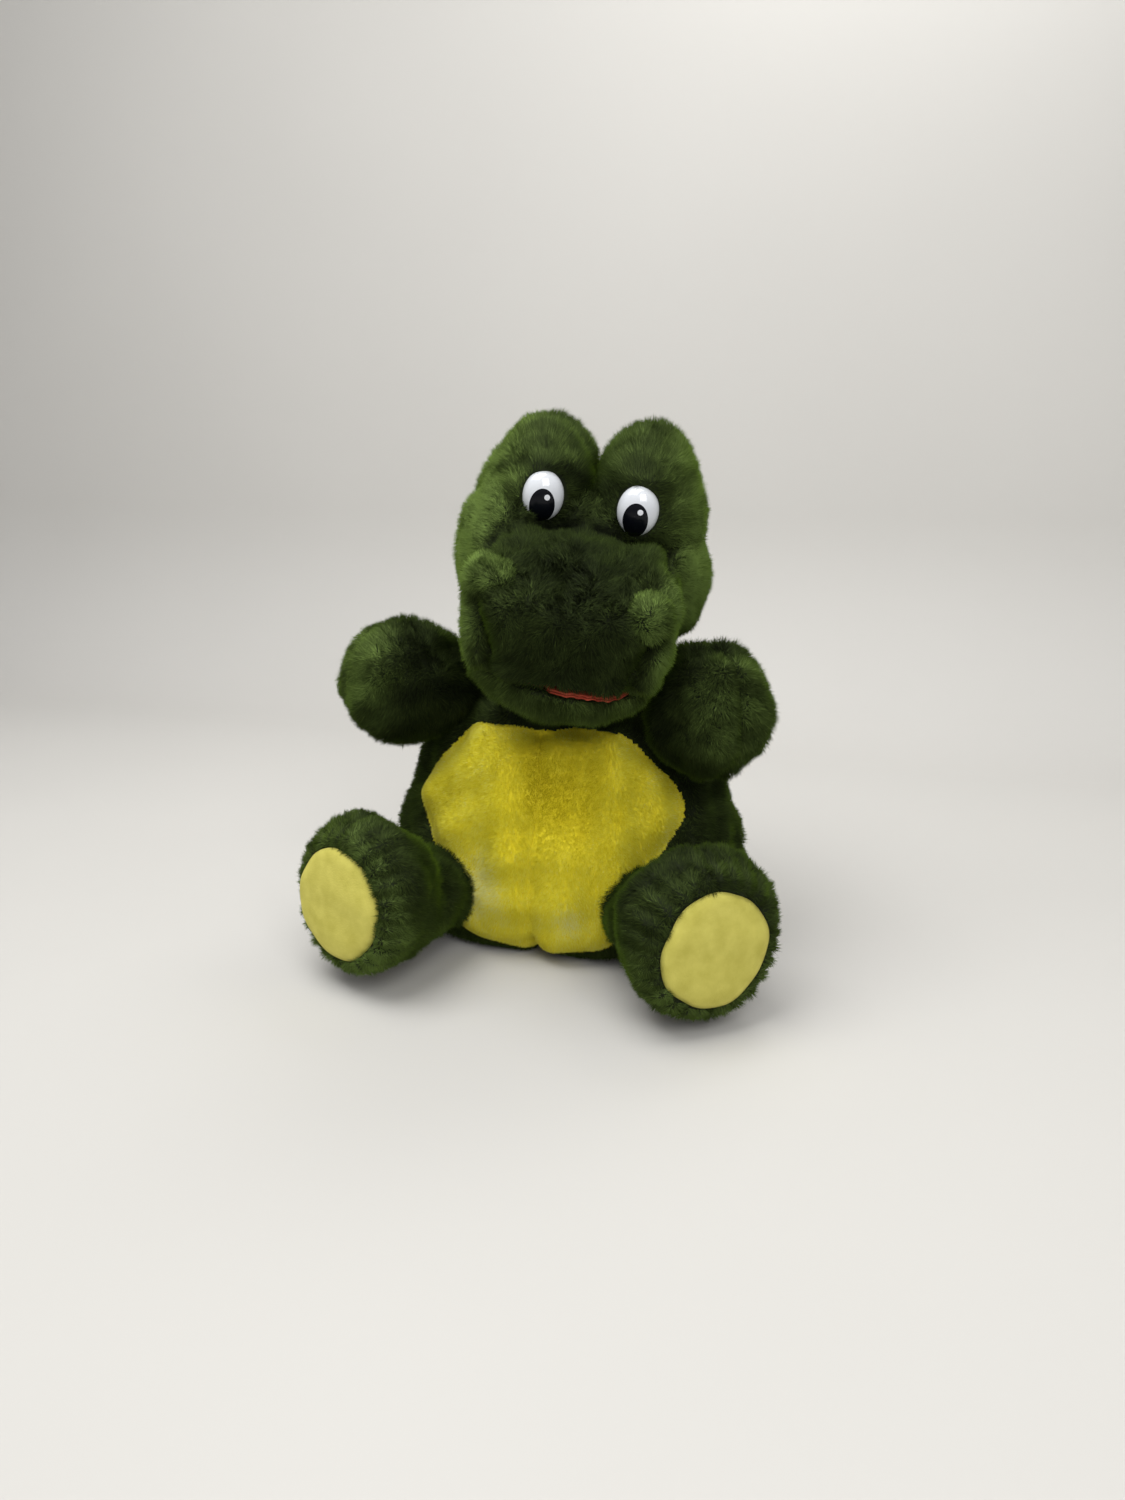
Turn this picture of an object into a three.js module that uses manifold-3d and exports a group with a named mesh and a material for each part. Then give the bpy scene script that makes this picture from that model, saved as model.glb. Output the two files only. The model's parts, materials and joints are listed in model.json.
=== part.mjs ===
// A sitting plush crocodile hand puppet with a moving mouth.
// Millimetres, +Z up. The origin is on the floor under the middle of the body.
// The belly faces -Y, and "left" is the puppet's own left, +X.
import * as THREE from 'three';
import { mergeVertices } from 'three/addons/utils/BufferGeometryUtils.js';
import { ConvexGeometry } from 'three/addons/geometries/ConvexGeometry.js';
import Module from 'manifold-3d';

const wasm = await Module();
wasm.setup();

const DEG = Math.PI / 180;
const FAR = 400;
const SIDES = [['left', 1], ['right', -1]];

// ---- driving dimensions ----
const GAP = 0.3;
const SKIN = 3;
const FELT = 1.5;
const BOARD = 2;
const LINING = 1.2;
const FILL_INSET = SKIN + GAP;
const SOCKET_PLAY = 2.8;
const CHEST_PLAY = 3.5;

const BODY = {
  // half width against height
  profile: [
    [84, 0], [99, 6], [107, 16], [111, 40], [108, 64], [101, 88],
    [90, 112], [77, 132], [62, 148], [50, 158],
  ],
  depth: 0.73,
  collarRadius: 46,
  collarFrom: 128,
  top: 158,
  fillTop: 155,
};
const CHANNEL = { rx: 40, ry: 38, y: 6, bottom: 22 };
const SLEEVE_TOP = BODY.top - 5;
const PORT = { rx: 44.8, rz: 36.5, z: 70 };
// the hem's roll, with a gap either side, fits between the sleeve and the stuffing
const HEM = { wall: 2.8, proud: 2.5, depth: 9, room: 4.6 };
// the body's stuffing is laid in three wads, between these heights
const BODY_WADS = [['seat', -FAR, 28.5], ['side', 28.5, 111.5], ['shoulder', 111.5, FAR]];
const BELLY = {
  // half outline of the belly patch, x against z
  outline: [[0, 7], [46, 17], [81, 89], [43, 136], [0, 136]],
};

const NECK = {
  y: 8,
  z: 176,
  clearance: 50,
  ringOuter: 46,
  ringInner: 40.5,
  liningOuter: 37.5,
  liningInner: 34.5,
  turnHigh: 6,
  nodLow: 4,
};
const NECK_RING = { low: -17.5, high: -8.5 };
const NECK_LINING = { low: -15, high: -6 };

const HEAD_TURN = 13;
const HEAD_TILT = 8.7;
const HEAD_NOD = 10;
const MOUTH = { z: 15, hinge: -36 };
const CRANIUM = { at: [0, -1, 45], semi: [66, 63, 60] };
const SNOUT = {
  halfWidth: 54,
  bevel: 14,
  // outline seen from the side, -Y against Z
  outline: [[16, 15], [121, 15], [125, 22], [117, 56], [104, 65], [52, 77], [16, 77]],
};
const MOUND = { at: [28, -7, 89], semi: [27.5, 42, 37] };
const EYE = {
  x: 25.5,
  z: 94,
  semiWidth: 11.3,
  semiHeight: 13.5,
  rise: 8,
  sunk: 1.5,
  toeIn: 6,
  lookUp: 3,
};
const EYE_REACH = 20;
const STEM = { radius: 2.5, length: 10, around: 16 };
const WASHER = { radius: 8, thickness: 1.4, behindSkin: 3.6, around: 16 };
const NOSTRIL = { at: [39, -105, 58.5], semi: [15, 17, 13] };
const CHEEK_SEAM = 41;
const BACK_SEAM = 10;
const FINGER_ROOM = { halfWidth: 38, front: -96, top: 47 };
// the head's stuffing is a crown over two cheeks and a nape
const CROWN_LOW = FINGER_ROOM.top + LINING + GAP;
const NAPE_FRONT = MOUTH.hinge + 6;
const JAW = { at: [0, -66, 15], semi: [51, 55, 28], open: 25 };
const JAW_CLEAR = { behind: 5.5, above: 1, neckLow: 4, neckGrow: 1.5 };
const THUMB_ROOM = { halfWidth: 17, front: -96, rear: -54, height: 9.5 };

const ARM = {
  shoulder: [66, -14, 146],
  // the two arms are held a little differently
  left: { heading: 43, lift: 8, low: -30, high: 6 },
  right: { heading: 46, lift: 16, low: -30, high: 15 },
  root: 23,
  paw: [0, -38, 0],
  pawSemi: [31, 34, 33],
};
const LIMB_CLEAR = { bodyGrow: 3, rootGrow: 1.2, jawGrow: 1.5 };
const LEG = {
  left: { hip: [60, -62, 46], heading: 40, lift: 1 },
  right: { hip: [-53, -62, 46], heading: 25, lift: 4 },
  root: 31,
  heel: [0, -52, 0],
  footRadius: 43,
  footDepth: 27,
  soleRadius: 30.5,
  soleAt: -84,
  toeRound: 4,
  low: -75,
  high: 12,
};

const LOOKS = {
  plush: { color: 0x4f6a2c, roughness: 0.98 },
  belly: { color: 0xc8bd3a, roughness: 0.97 },
  sole: { color: 0xcbc565, roughness: 0.95 },
  felt: { color: 0xb23c2a, roughness: 0.93 },
  eye: { color: 0xf0f1ee, roughness: 0.12 },
  stiff: { color: 0x9b8f7c, roughness: 0.8 },
  lining: { color: 0x2f3a22, roughness: 0.9 },
  fill: { color: 0xe9e6dc, roughness: 1 },
};

// ---- closed shapes ----

/** The manifold solid of a three.js geometry. */
function solid(geometry) {
  const bare = geometry.clone();
  bare.deleteAttribute('normal');
  bare.deleteAttribute('uv');
  const merged = mergeVertices(bare, 1e-4);
  const vertProperties = new Float32Array(merged.attributes.position.array);
  const triVerts = new Uint32Array(merged.index.array);
  return new wasm.Manifold(new wasm.Mesh({ numProp: 3, vertProperties, triVerts }));
}

/** The three.js geometry of a manifold solid. */
function geometryOf(shape) {
  const { vertProperties, triVerts } = shape.getMesh();
  const geometry = new THREE.BufferGeometry();
  geometry.setAttribute('position', new THREE.BufferAttribute(new Float32Array(vertProperties), 3));
  geometry.setIndex(new THREE.BufferAttribute(new Uint32Array(triVerts), 1));
  geometry.computeVertexNormals();
  return geometry;
}

function cut(shape, tools) {
  return tools.reduce((left, tool) => left.subtract(tool), shape);
}

/** A copy of a solid, carried by a matrix. */
function carried(shape, matrix) {
  return solid(geometryOf(shape).applyMatrix4(matrix));
}

/** An ellipsoid with its poles on Z; grow makes it larger all round. */
function ellipsoid([x, y, z], [rx, ry, rz], grow = 0, around = 18) {
  const geometry = new THREE.SphereGeometry(1, around, around / 2);
  geometry.rotateX(Math.PI / 2);
  geometry.scale(rx + grow, ry + grow, rz + grow);
  geometry.translate(x, y, z);
  return solid(geometry);
}

function ball(at, radius, around = 14) {
  return ellipsoid(at, [radius, radius, radius], 0, around);
}

/** The box between two corners. */
function box(low, high) {
  const size = high.map((value, i) => value - low[i]);
  const geometry = new THREE.BoxGeometry(...size);
  geometry.translate(...high.map((value, i) => (value + low[i]) / 2));
  return solid(geometry);
}

/** Everything on the + or - side of a plane across one axis. */
function beyond(axis, at, sign) {
  const low = [-FAR, -FAR, -FAR];
  const high = [FAR, FAR, FAR];
  if (sign > 0) low[axis] = at;
  else high[axis] = at;
  return box(low, high);
}

/** An upright elliptical column. */
function column([x, y], rx, ry, low, high, around = 22) {
  const geometry = new THREE.CylinderGeometry(1, 1, high - low, around);
  geometry.rotateX(Math.PI / 2);
  geometry.scale(rx, ry, 1);
  geometry.translate(x, y, (low + high) / 2);
  return solid(geometry);
}

/** An elliptical bar along Y. */
function bar([x, z], rx, rz, low, high, around = 20) {
  const geometry = new THREE.CylinderGeometry(1, 1, high - low, around);
  geometry.scale(rx, 1, rz);
  geometry.translate(x, (low + high) / 2, z);
  return solid(geometry);
}

function ring([x, y], outer, inner, low, high) {
  const body = column([x, y], outer, outer, low, high);
  return body.subtract(column([x, y], inner, inner, low - 1, high + 1));
}

/** The part of a shape on one side of the middle plane, half a gap clear of it. */
function half(shape, side) {
  return shape.intersect(beyond(0, side * GAP / 2, side));
}

/** The part of a shape between two heights. */
function layer(shape, low, high) {
  return shape.intersect(box([-FAR, -FAR, low], [FAR, FAR, high]));
}

/** The part of a shape between two planes across one axis, half a gap clear of each. */
function between(shape, axis, low, high) {
  return shape
    .intersect(beyond(axis, low + GAP / 2, 1))
    .intersect(beyond(axis, high - GAP / 2, -1));
}

// ---- the scene graph ----

const puppet = new THREE.Group();
puppet.name = 'crocodile_puppet';

function piece(parent, name, shape, look) {
  const material = new THREE.MeshStandardMaterial({ metalness: 0, ...LOOKS[look] });
  const mesh = new THREE.Mesh(geometryOf(shape), material);
  mesh.name = name;
  parent.add(mesh);
  return mesh;
}

/** A group standing at a point and turned about Z, then Y, then X, in degrees. */
function posed(at, turn, tilt, nod) {
  const group = new THREE.Group();
  group.position.set(...at);
  group.rotation.set(nod * DEG, tilt * DEG, turn * DEG, 'ZYX');
  group.updateMatrix();
  return group;
}

/** The same, standing in the puppet. */
function stood(at, turn, tilt, nod) {
  const group = posed(at, turn, tilt, nod);
  puppet.add(group);
  group.updateWorldMatrix(true, false);
  return group;
}

/** How the head sits on the neck. */
function headPose(turnMore = 0, nodMore = 0) {
  const at = [0, NECK.y, NECK.z];
  return posed(at, HEAD_TURN + turnMore, HEAD_TILT, HEAD_NOD + nodMore).matrix;
}

/** What a moving shape must be cut by, so that it clears a keep-out shape at every angle. */
function sweptAbout(keepOut, [, y, z], angles) {
  return angles.map((angle) => {
    const turn = new THREE.Matrix4().makeTranslation(0, y, z)
      .multiply(new THREE.Matrix4().makeRotationX(angle * DEG))
      .multiply(new THREE.Matrix4().makeTranslation(0, -y, -z));
    return carried(keepOut, turn);
  });
}

// ---- the body ----

/** The body's outer shape, drawn in by inset, with the hollow that the open jaw sinks into. */
function bodyShape(inset = 0, around = 24) {
  const floor = Math.min(inset, 0);
  const rim = BODY.profile.map(([r, z], i) => new THREE.Vector2(r - inset, i === 0 ? floor : z));
  const points = [new THREE.Vector2(0, floor), ...rim, new THREE.Vector2(0, BODY.top)];
  const geometry = new THREE.LatheGeometry(points, around);
  geometry.rotateX(Math.PI / 2);
  const widest = Math.max(...BODY.profile.map(([r]) => r));
  geometry.scale(1, (widest * BODY.depth - inset) / (widest - inset), 1);
  const radius = BODY.collarRadius - inset;
  const collar = column([0, NECK.y], radius, radius, BODY.collarFrom, BODY.top);
  return cut(solid(geometry).add(collar), chestHollow(inset + CHEST_PLAY));
}

/** The lower jaw part way and fully open, grown by a margin. */
function chestHollow(grow) {
  const jaw = ellipsoid(JAW.at, JAW.semi, grow, 14);
  const head = headPose();
  return sweptAbout(jaw, [0, MOUTH.hinge, MOUTH.z], [JAW.open / 2, JAW.open])
    .map((shape) => carried(shape, head));
}

/** The belly patch's outline as a prism through the front of the body. */
function bellyPrism(grow) {
  const right = BELLY.outline.map(([x, z]) => [x + grow, z]);
  const left = BELLY.outline.slice(1, -1).reverse().map(([x, z]) => [-x - grow, z]);
  const corners = [...right, ...left].map(([x, z], i) => {
    const down = i === 0 ? -grow : 0;
    const up = z > 120 ? grow : 0;
    return new THREE.Vector2(i === 0 ? 0 : x, z + down + up);
  });
  const geometry = new THREE.ExtrudeGeometry(new THREE.Shape(corners), {
    depth: FAR, bevelEnabled: false,
  });
  geometry.rotateX(Math.PI / 2);
  return solid(geometry);
}

/** The room that the hand goes through: up the body, and in from the back. */
function handRoom(grow) {
  const { rx, ry, y, bottom } = CHANNEL;
  const up = column([0, y], rx + grow, ry + grow, bottom - grow, SLEEVE_TOP);
  const inward = bar([0, PORT.z], PORT.rx + grow, PORT.rz + grow, y - grow, FAR);
  return up.add(inward);
}

function sockets() {
  const shapes = [];
  for (const [name, side] of SIDES) {
    const [x, y, z] = ARM.shoulder;
    shapes.push(ball([side * x, y, z], ARM.root + SOCKET_PLAY));
    shapes.push(ball(LEG[name].hip, LEG.root + SOCKET_PLAY));
  }
  return shapes;
}

/** The hole that the hem's roll goes round, out through the back. */
function portHole() {
  return bar([0, PORT.z], PORT.rx + HEM.room, PORT.rz + HEM.room, CHANNEL.y, FAR);
}

function buildBody() {
  const outer = bodyShape();
  const { rx, ry, y } = CHANNEL;
  const inner = LINING + GAP;
  const throat = column([0, y], rx + inner, ry + inner, BODY.collarFrom, FAR);
  const shell = cut(outer.subtract(bodyShape(SKIN)), [portHole(), throat, ...sockets()]);
  const skin = shell.intersect(beyond(2, SKIN + GAP, 1));
  const back = skin.subtract(bellyPrism(GAP));
  const belly = skin.intersect(bellyPrism(0));

  piece(puppet, 'base_panel', outer.intersect(beyond(2, SKIN, -1)), 'plush');
  for (const [name, side] of SIDES) {
    piece(puppet, `belly_panel_${name}`, half(belly, side), 'belly');
    piece(puppet, `back_panel_${name}`, half(back, side), 'plush');
  }
}

function buildBodyFill() {
  const fill = cut(bodyShape(FILL_INSET), [
    handRoom(LINING + GAP),
    portHole(),
    beyond(2, BODY.fillTop, 1),
    ...sockets(),
  ]).intersect(beyond(2, SKIN + GAP, 1));
  for (const [wad, low, high] of BODY_WADS) {
    const layer = between(fill, 2, low, high);
    for (const [name, side] of SIDES) {
      piece(puppet, `${wad}_fill_${name}`, half(layer, side), 'fill');
    }
  }
}

function buildSleeve() {
  const reach = bodyShape(1);
  const sleeve = handRoom(LINING).subtract(handRoom(0)).intersect(reach);
  piece(puppet, 'hand_sleeve', sleeve, 'lining');

  const inner = LINING + GAP;
  const outer = inner + HEM.wall;
  const hem = bar([0, PORT.z], PORT.rx + outer, PORT.rz + outer, 0, FAR)
    .subtract(bar([0, PORT.z], PORT.rx + inner, PORT.rz + inner, -1, FAR + 1))
    .intersect(bodyShape(-HEM.proud))
    .subtract(bodyShape(HEM.depth));
  piece(puppet, 'opening_hem', hem, 'lining');
}

// ---- the neck ----

function buildNeck() {
  const centre = [0, NECK.y];
  const skin = ring(centre, NECK.ringOuter, NECK.ringInner,
    NECK.z + NECK_RING.low, NECK.z + NECK_RING.high);
  const lining = ring(centre, NECK.liningOuter, NECK.liningInner,
    NECK.z + NECK_LINING.low, NECK.z + NECK_LINING.high);
  piece(puppet, 'neck_skin', skin, 'plush');
  piece(puppet, 'neck_lining', lining, 'lining');
}

// ---- the head, in a frame at the neck with the muzzle along -Y ----

function snoutShape(inset) {
  const width = SNOUT.halfWidth - SNOUT.bevel;
  const outline = SNOUT.outline.map(([f, z]) => new THREE.Vector2(f, z));
  const middle = new THREE.Vector2(0, 0);
  outline.forEach((point) => middle.add(point.clone().divideScalar(outline.length)));
  const shrink = SNOUT.bevel + inset;
  const core = outline.map((point) => {
    const inward = middle.clone().sub(point);
    return point.clone().add(inward.setLength(shrink * 1.2));
  });
  const geometry = new THREE.ExtrudeGeometry(new THREE.Shape(core), {
    depth: 2 * width,
    bevelThickness: SNOUT.bevel - inset,
    bevelSize: SNOUT.bevel,
    bevelSegments: 4,
  });
  // the outline's first axis becomes -Y, its second Z, and the extrusion runs along X
  const basis = new THREE.Matrix4().makeBasis(
    new THREE.Vector3(0, -1, 0),
    new THREE.Vector3(0, 0, 1),
    new THREE.Vector3(-1, 0, 0),
  );
  geometry.applyMatrix4(basis);
  geometry.translate(width, 0, 0);
  return solid(geometry);
}

/** The upper head without its eye mounds. */
function headShape(inset) {
  const skull = ellipsoid(CRANIUM.at, CRANIUM.semi, -inset, 24);
  return skull.add(snoutShape(inset));
}

/** The space under the mouth plane, ahead of the neck, that belongs to the jaw. */
function jawSpace(top, rear) {
  return box([-FAR, -FAR, -FAR], [FAR, rear, top]);
}

function moundShape(side, inset) {
  const [x, y, z] = MOUND.at;
  return ellipsoid([side * x, y, z], MOUND.semi, -inset, 16);
}

/** An eye's place on its mound. */
function eyePlace(side) {
  const [cx, cy, cz] = MOUND.at;
  const [rx, ry, rz] = MOUND.semi;
  const across = (EYE.x - cx) / rx;
  const up = (EYE.z - cz) / rz;
  const front = cy - ry * Math.sqrt(1 - across * across - up * up);
  return posed([side * EYE.x, front, EYE.z], -side * EYE.toeIn, 0, -EYE.lookUp);
}

/** The oval dome of an eye with its stem, in the eye's own frame. */
function eyeShape() {
  const { semiWidth, semiHeight, rise, sunk } = EYE;
  const dome = ellipsoid([0, sunk, 0], [semiWidth, rise, semiHeight])
    .intersect(beyond(1, sunk, -1));
  return dome.add(stemBar(0, sunk - 1, sunk + STEM.length));
}

function stemBar(grow, low, high) {
  const radius = STEM.radius + grow;
  return bar([0, 0], radius, radius, low, high, STEM.around);
}

/** The seat that an eye is pressed into, with the hole for its stem. */
function eyeSeat() {
  const { semiWidth, semiHeight, sunk } = EYE;
  const pad = bar([0, 0], semiWidth + GAP, semiHeight + GAP, -EYE_REACH, sunk + GAP);
  return pad.add(stemBar(GAP, 0, sunk + STEM.length + GAP));
}

/** The washer's disc, or with a gap the well that it is pressed into. */
function washerRoom(grow) {
  const radius = WASHER.radius + grow;
  const front = grow > 0 ? -EYE_REACH : SKIN + WASHER.behindSkin;
  const back = SKIN + WASHER.behindSkin + WASHER.thickness + grow;
  return bar([0, 0], radius, radius, front, back, WASHER.around);
}

function buildMound(head, name, side, carvedHead) {
  const eye = eyePlace(side);
  head.add(eye);
  const seat = carried(eyeSeat(), eye.matrix);
  const well = carried(washerRoom(GAP), eye.matrix);
  const skin = moundShape(side, 0).subtract(moundShape(side, SKIN));
  const fill = moundShape(side, FILL_INSET);
  const base = [seat, carvedHead];
  piece(head, `eye_mound_${name}`, half(cut(skin, base), side), 'plush');
  piece(head, `mound_fill_${name}`, half(cut(fill, [...base, well]), side), 'fill');

  const washer = washerRoom(0).subtract(stemBar(GAP, 0, EYE_REACH));
  piece(eye, `eye_${name}`, eyeShape(), 'eye');
  piece(eye, `eye_washer_${name}`, washer, 'stiff');
}

/** What the eyes take out of the head: their seats and the wells behind them. */
function eyeRooms() {
  return SIDES.flatMap(([, side]) => {
    const { matrix } = eyePlace(side);
    return [eyeSeat(), washerRoom(GAP)].map((room) => carried(room, matrix));
  });
}

function buildHeadSkin(head, outer) {
  const jaw = jawSpace(MOUTH.z + GAP / 2 + FELT + GAP, NAPE_FRONT);
  const neck = ball([0, 0, 0], NECK.clearance);
  const skin = cut(outer, [headShape(SKIN), jaw, neck, ...eyeRooms()]);
  const back = skin.intersect(beyond(1, BACK_SEAM, 1));
  const front = skin.intersect(beyond(1, BACK_SEAM - GAP, -1));
  const middle = box([-CHEEK_SEAM, -FAR, -FAR], [CHEEK_SEAM, FAR, FAR]);
  piece(head, 'head_back_panel', back, 'plush');
  const muzzle = front.intersect(middle).intersect(beyond(2, MOUTH.z, 1));
  piece(head, 'muzzle_panel', muzzle, 'plush');
  for (const [name, side] of SIDES) {
    const cheek = front.intersect(beyond(0, side * (CHEEK_SEAM + GAP), side));
    piece(head, `cheek_panel_${name}`, cheek, 'plush');
  }
}

function buildHeadFill(head) {
  const jaw = jawSpace(MOUTH.z + GAP / 2 + FELT + BOARD + 3 * GAP, NAPE_FRONT);
  const neck = ball([0, 0, 0], NECK.clearance + GAP);
  const fingers = fingerRoom(LINING + GAP);
  const fill = cut(headShape(FILL_INSET), [jaw, neck, fingers, ...eyeRooms()]);
  const lower = between(fill, 2, -FAR, CROWN_LOW);
  const wads = {
    crown: between(fill, 2, CROWN_LOW, FAR),
    cheek: between(lower, 1, -FAR, NAPE_FRONT),
    nape: between(lower, 1, NAPE_FRONT, FAR),
  };
  for (const [wad, shape] of Object.entries(wads)) {
    for (const [name, side] of SIDES) {
      piece(head, `${wad}_fill_${name}`, half(shape, side), 'fill');
    }
  }
}

/** The space for the fingers above the upper mouth board. */
function fingerRoom(grow) {
  const { halfWidth, front, top } = FINGER_ROOM;
  return box([-halfWidth - grow, front - grow, -FAR], [halfWidth + grow, 0, top + grow]);
}

function buildUpperMouth(head, outer) {
  const low = MOUTH.z + GAP / 2;
  const ahead = beyond(1, MOUTH.hinge, -1);
  const inner = headShape(FILL_INSET).intersect(ahead);
  const board = low + FELT + GAP;
  const lining = layer(outer.intersect(ahead), low, low + FELT);
  const pocket = fingerRoom(LINING)
    .subtract(fingerRoom(0))
    .intersect(beyond(2, board + BOARD + GAP, 1))
    .intersect(inner)
    .subtract(ball([0, 0, 0], NECK.clearance + GAP));
  piece(head, 'upper_mouth_lining', lining, 'felt');
  piece(head, 'upper_mouth_board', layer(inner, board, board + BOARD), 'stiff');
  piece(head, 'finger_pocket', pocket, 'lining');
}

function buildHead() {
  const head = stood([0, NECK.y, NECK.z], HEAD_TURN, HEAD_TILT, HEAD_NOD);
  const outer = headShape(0);
  const clearOfHead = headShape(-GAP);
  buildHeadSkin(head, outer);
  buildHeadFill(head);
  buildUpperMouth(head, outer);
  for (const [name, side] of SIDES) {
    buildMound(head, name, side, clearOfHead);
    const [x, y, z] = NOSTRIL.at;
    const bump = ellipsoid([side * x, y, z], NOSTRIL.semi, 0, 20);
    piece(head, `nostril_${name}`, bump.subtract(clearOfHead), 'plush');
  }
  buildJaw(head);
}

// ---- the lower jaw, hinged along X at the back of the mouth ----

/** What the jaw keeps clear of while it opens: the back of the head and the neck. */
function jawKeepOuts() {
  const { behind, above, neckLow, neckGrow } = JAW_CLEAR;
  const still = box([-FAR, MOUTH.hinge + behind, -FAR], [FAR, FAR, MOUTH.z + above])
    .add(ball([0, 0, -neckLow], NECK.clearance + neckGrow));
  const steps = [0, JAW.open / 2, JAW.open];
  return sweptAbout(still, [0, MOUTH.hinge, MOUTH.z], steps.map((angle) => -angle));
}

/** Where the jaw's stuffing stops: a flat back that clears the neck with the jaw open. */
function jawFillBack() {
  const behind = box([-FAR, -NECK.clearance - JAW_CLEAR.above, -FAR], [FAR, FAR, FAR]);
  return sweptAbout(behind, [0, MOUTH.hinge, MOUTH.z], [-JAW.open]);
}

/** The space for the thumb under the lower mouth board. */
function thumbRoom(boardLow, grow) {
  const { halfWidth, front, height } = THUMB_ROOM;
  const floor = boardLow - GAP - height;
  return box([-halfWidth - grow, front - grow, floor - grow], [halfWidth + grow, 0, FAR]);
}

function buildJaw(head) {
  const top = MOUTH.z - GAP / 2;
  const ahead = beyond(1, MOUTH.hinge, -1);
  const keepOuts = jawKeepOuts();
  const bowl = (inset) => ellipsoid(JAW.at, JAW.semi, -inset, 24).intersect(ahead);
  const under = (z) => beyond(2, z, -1);
  const feltLow = top - FELT;
  const boardTop = feltLow - GAP;
  const boardLow = boardTop - BOARD;
  const roomTop = boardLow - GAP;

  const skin = cut(bowl(0).intersect(under(feltLow - GAP)), [bowl(SKIN), ...keepOuts]);
  const fill = cut(bowl(FILL_INSET).intersect(under(roomTop)), [
    thumbRoom(boardLow, LINING + GAP),
    ...keepOuts,
    ...jawFillBack(),
  ]);
  const pocket = cut(thumbRoom(boardLow, LINING).intersect(under(roomTop)), [
    thumbRoom(boardLow, 0),
    beyond(1, THUMB_ROOM.rear, 1),
    ...keepOuts,
  ]);
  piece(head, 'lower_mouth_lining', layer(bowl(0), feltLow, top), 'felt');
  piece(head, 'lower_mouth_board', layer(bowl(FILL_INSET), boardLow, boardTop), 'stiff');
  piece(head, 'thumb_pocket', pocket, 'lining');
  piece(head, 'jaw_skin', skin, 'plush');
  piece(head, 'jaw_fill', fill, 'fill');
}

// ---- the limbs, each in a frame at its joint with the paw along -Y ----

/** The convex wrap of some ellipsoids, each [centre, semi-axes]. */
function wrapped(parts, inset) {
  const points = [];
  for (const [at, semi] of parts) {
    const geometry = new THREE.SphereGeometry(1, 16, 8);
    geometry.rotateX(Math.PI / 2);
    geometry.scale(...semi.map((value) => value - inset));
    geometry.translate(...at);
    const position = mergeVertices(geometry).attributes.position;
    for (let i = 0; i < position.count; i += 1) {
      points.push(new THREE.Vector3().fromBufferAttribute(position, i));
    }
  }
  return solid(new ConvexGeometry(points));
}

/** The body as a limb must clear it at each angle of its joint, in the limb's own frame. */
function limbKeepOuts(limb, root, low, high) {
  const toLimb = limb.matrixWorld.clone().invert();
  const { bodyGrow, rootGrow } = LIMB_CLEAR;
  const body = carried(bodyShape(-bodyGrow, 14), toLimb);
  const still = body.subtract(ball([0, 0, 0], root + rootGrow, 12));
  return sweptAbout(still, [0, 0, 0], [low, 0, high]);
}

/** The cheek and jaw beside an arm, with the head turned to it and nodded down. */
function headKeepOuts(limb, highest) {
  const toLimb = limb.matrixWorld.clone().invert();
  const jaw = ellipsoid(JAW.at, JAW.semi, LIMB_CLEAR.jawGrow, 16);
  const [open] = sweptAbout(jaw, [0, MOUTH.hinge, MOUTH.z], [JAW.open]);
  const head = snoutShape(-1).add(jaw).add(open);
  const poses = [headPose(), headPose(NECK.turnHigh, 0), headPose(0, NECK.nodLow)];
  const near = poses.map((pose) => carried(carried(head, pose), toLimb));
  return [...near, ...sweptAbout(near[0], [0, 0, 0], [highest])];
}

function buildArm(name, side) {
  const [x, y, z] = ARM.shoulder;
  const { heading, lift, low, high } = ARM[name];
  const arm = stood([side * x, y, z], side * heading, 0, -lift);
  const keepOuts = limbKeepOuts(arm, ARM.root, low, high);
  if (side > 0) keepOuts.push(...headKeepOuts(arm, high));
  const parts = [[[0, 0, 0], [ARM.root, ARM.root, ARM.root]], [ARM.paw, ARM.pawSemi]];
  const outer = wrapped(parts, 0);
  const hem = ball([0, 0, 0], ARM.root + SOCKET_PLAY);
  const skin = cut(outer.subtract(wrapped(parts, SKIN)), [hem, ...keepOuts]);
  const fill = cut(wrapped(parts, FILL_INSET), keepOuts);
  piece(arm, `arm_front_panel_${name}`, half(skin, -side), 'plush');
  piece(arm, `arm_back_panel_${name}`, half(skin, side), 'plush');
  piece(arm, `arm_fill_${name}`, fill, 'fill');
}

function buildLeg(name, side) {
  const { hip, heading, lift } = LEG[name];
  const leg = stood(hip, side * heading, 0, -lift);
  const keepOuts = limbKeepOuts(leg, LEG.root, LEG.low, LEG.high);
  const { root, heel, footRadius, footDepth, soleRadius, soleAt, toeRound } = LEG;
  const toe = soleRadius + toeRound;
  const parts = [
    [[0, 0, 0], [root, root, root]],
    [heel, [footRadius, footDepth, footRadius]],
    [[0, soleAt + toeRound, 0], [toe, toeRound, toe]],
  ];
  const skin = cut(wrapped(parts, 0), [
    wrapped(parts, SKIN),
    bar([0, 0], soleRadius + GAP, soleRadius + GAP, -FAR, soleAt + SKIN * toeRound),
    ball([0, 0, 0], root + SOCKET_PLAY),
    ...keepOuts,
  ]);
  const fill = cut(wrapped(parts, FILL_INSET), keepOuts);
  const sole = bar([0, 0], soleRadius, soleRadius, soleAt, soleAt + SKIN);
  piece(leg, `leg_outer_panel_${name}`, half(skin, side), 'plush');
  piece(leg, `leg_inner_panel_${name}`, half(skin, -side), 'plush');
  piece(leg, `foot_sole_${name}`, sole, 'sole');
  piece(leg, `leg_fill_${name}`, fill, 'fill');
}

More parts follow.
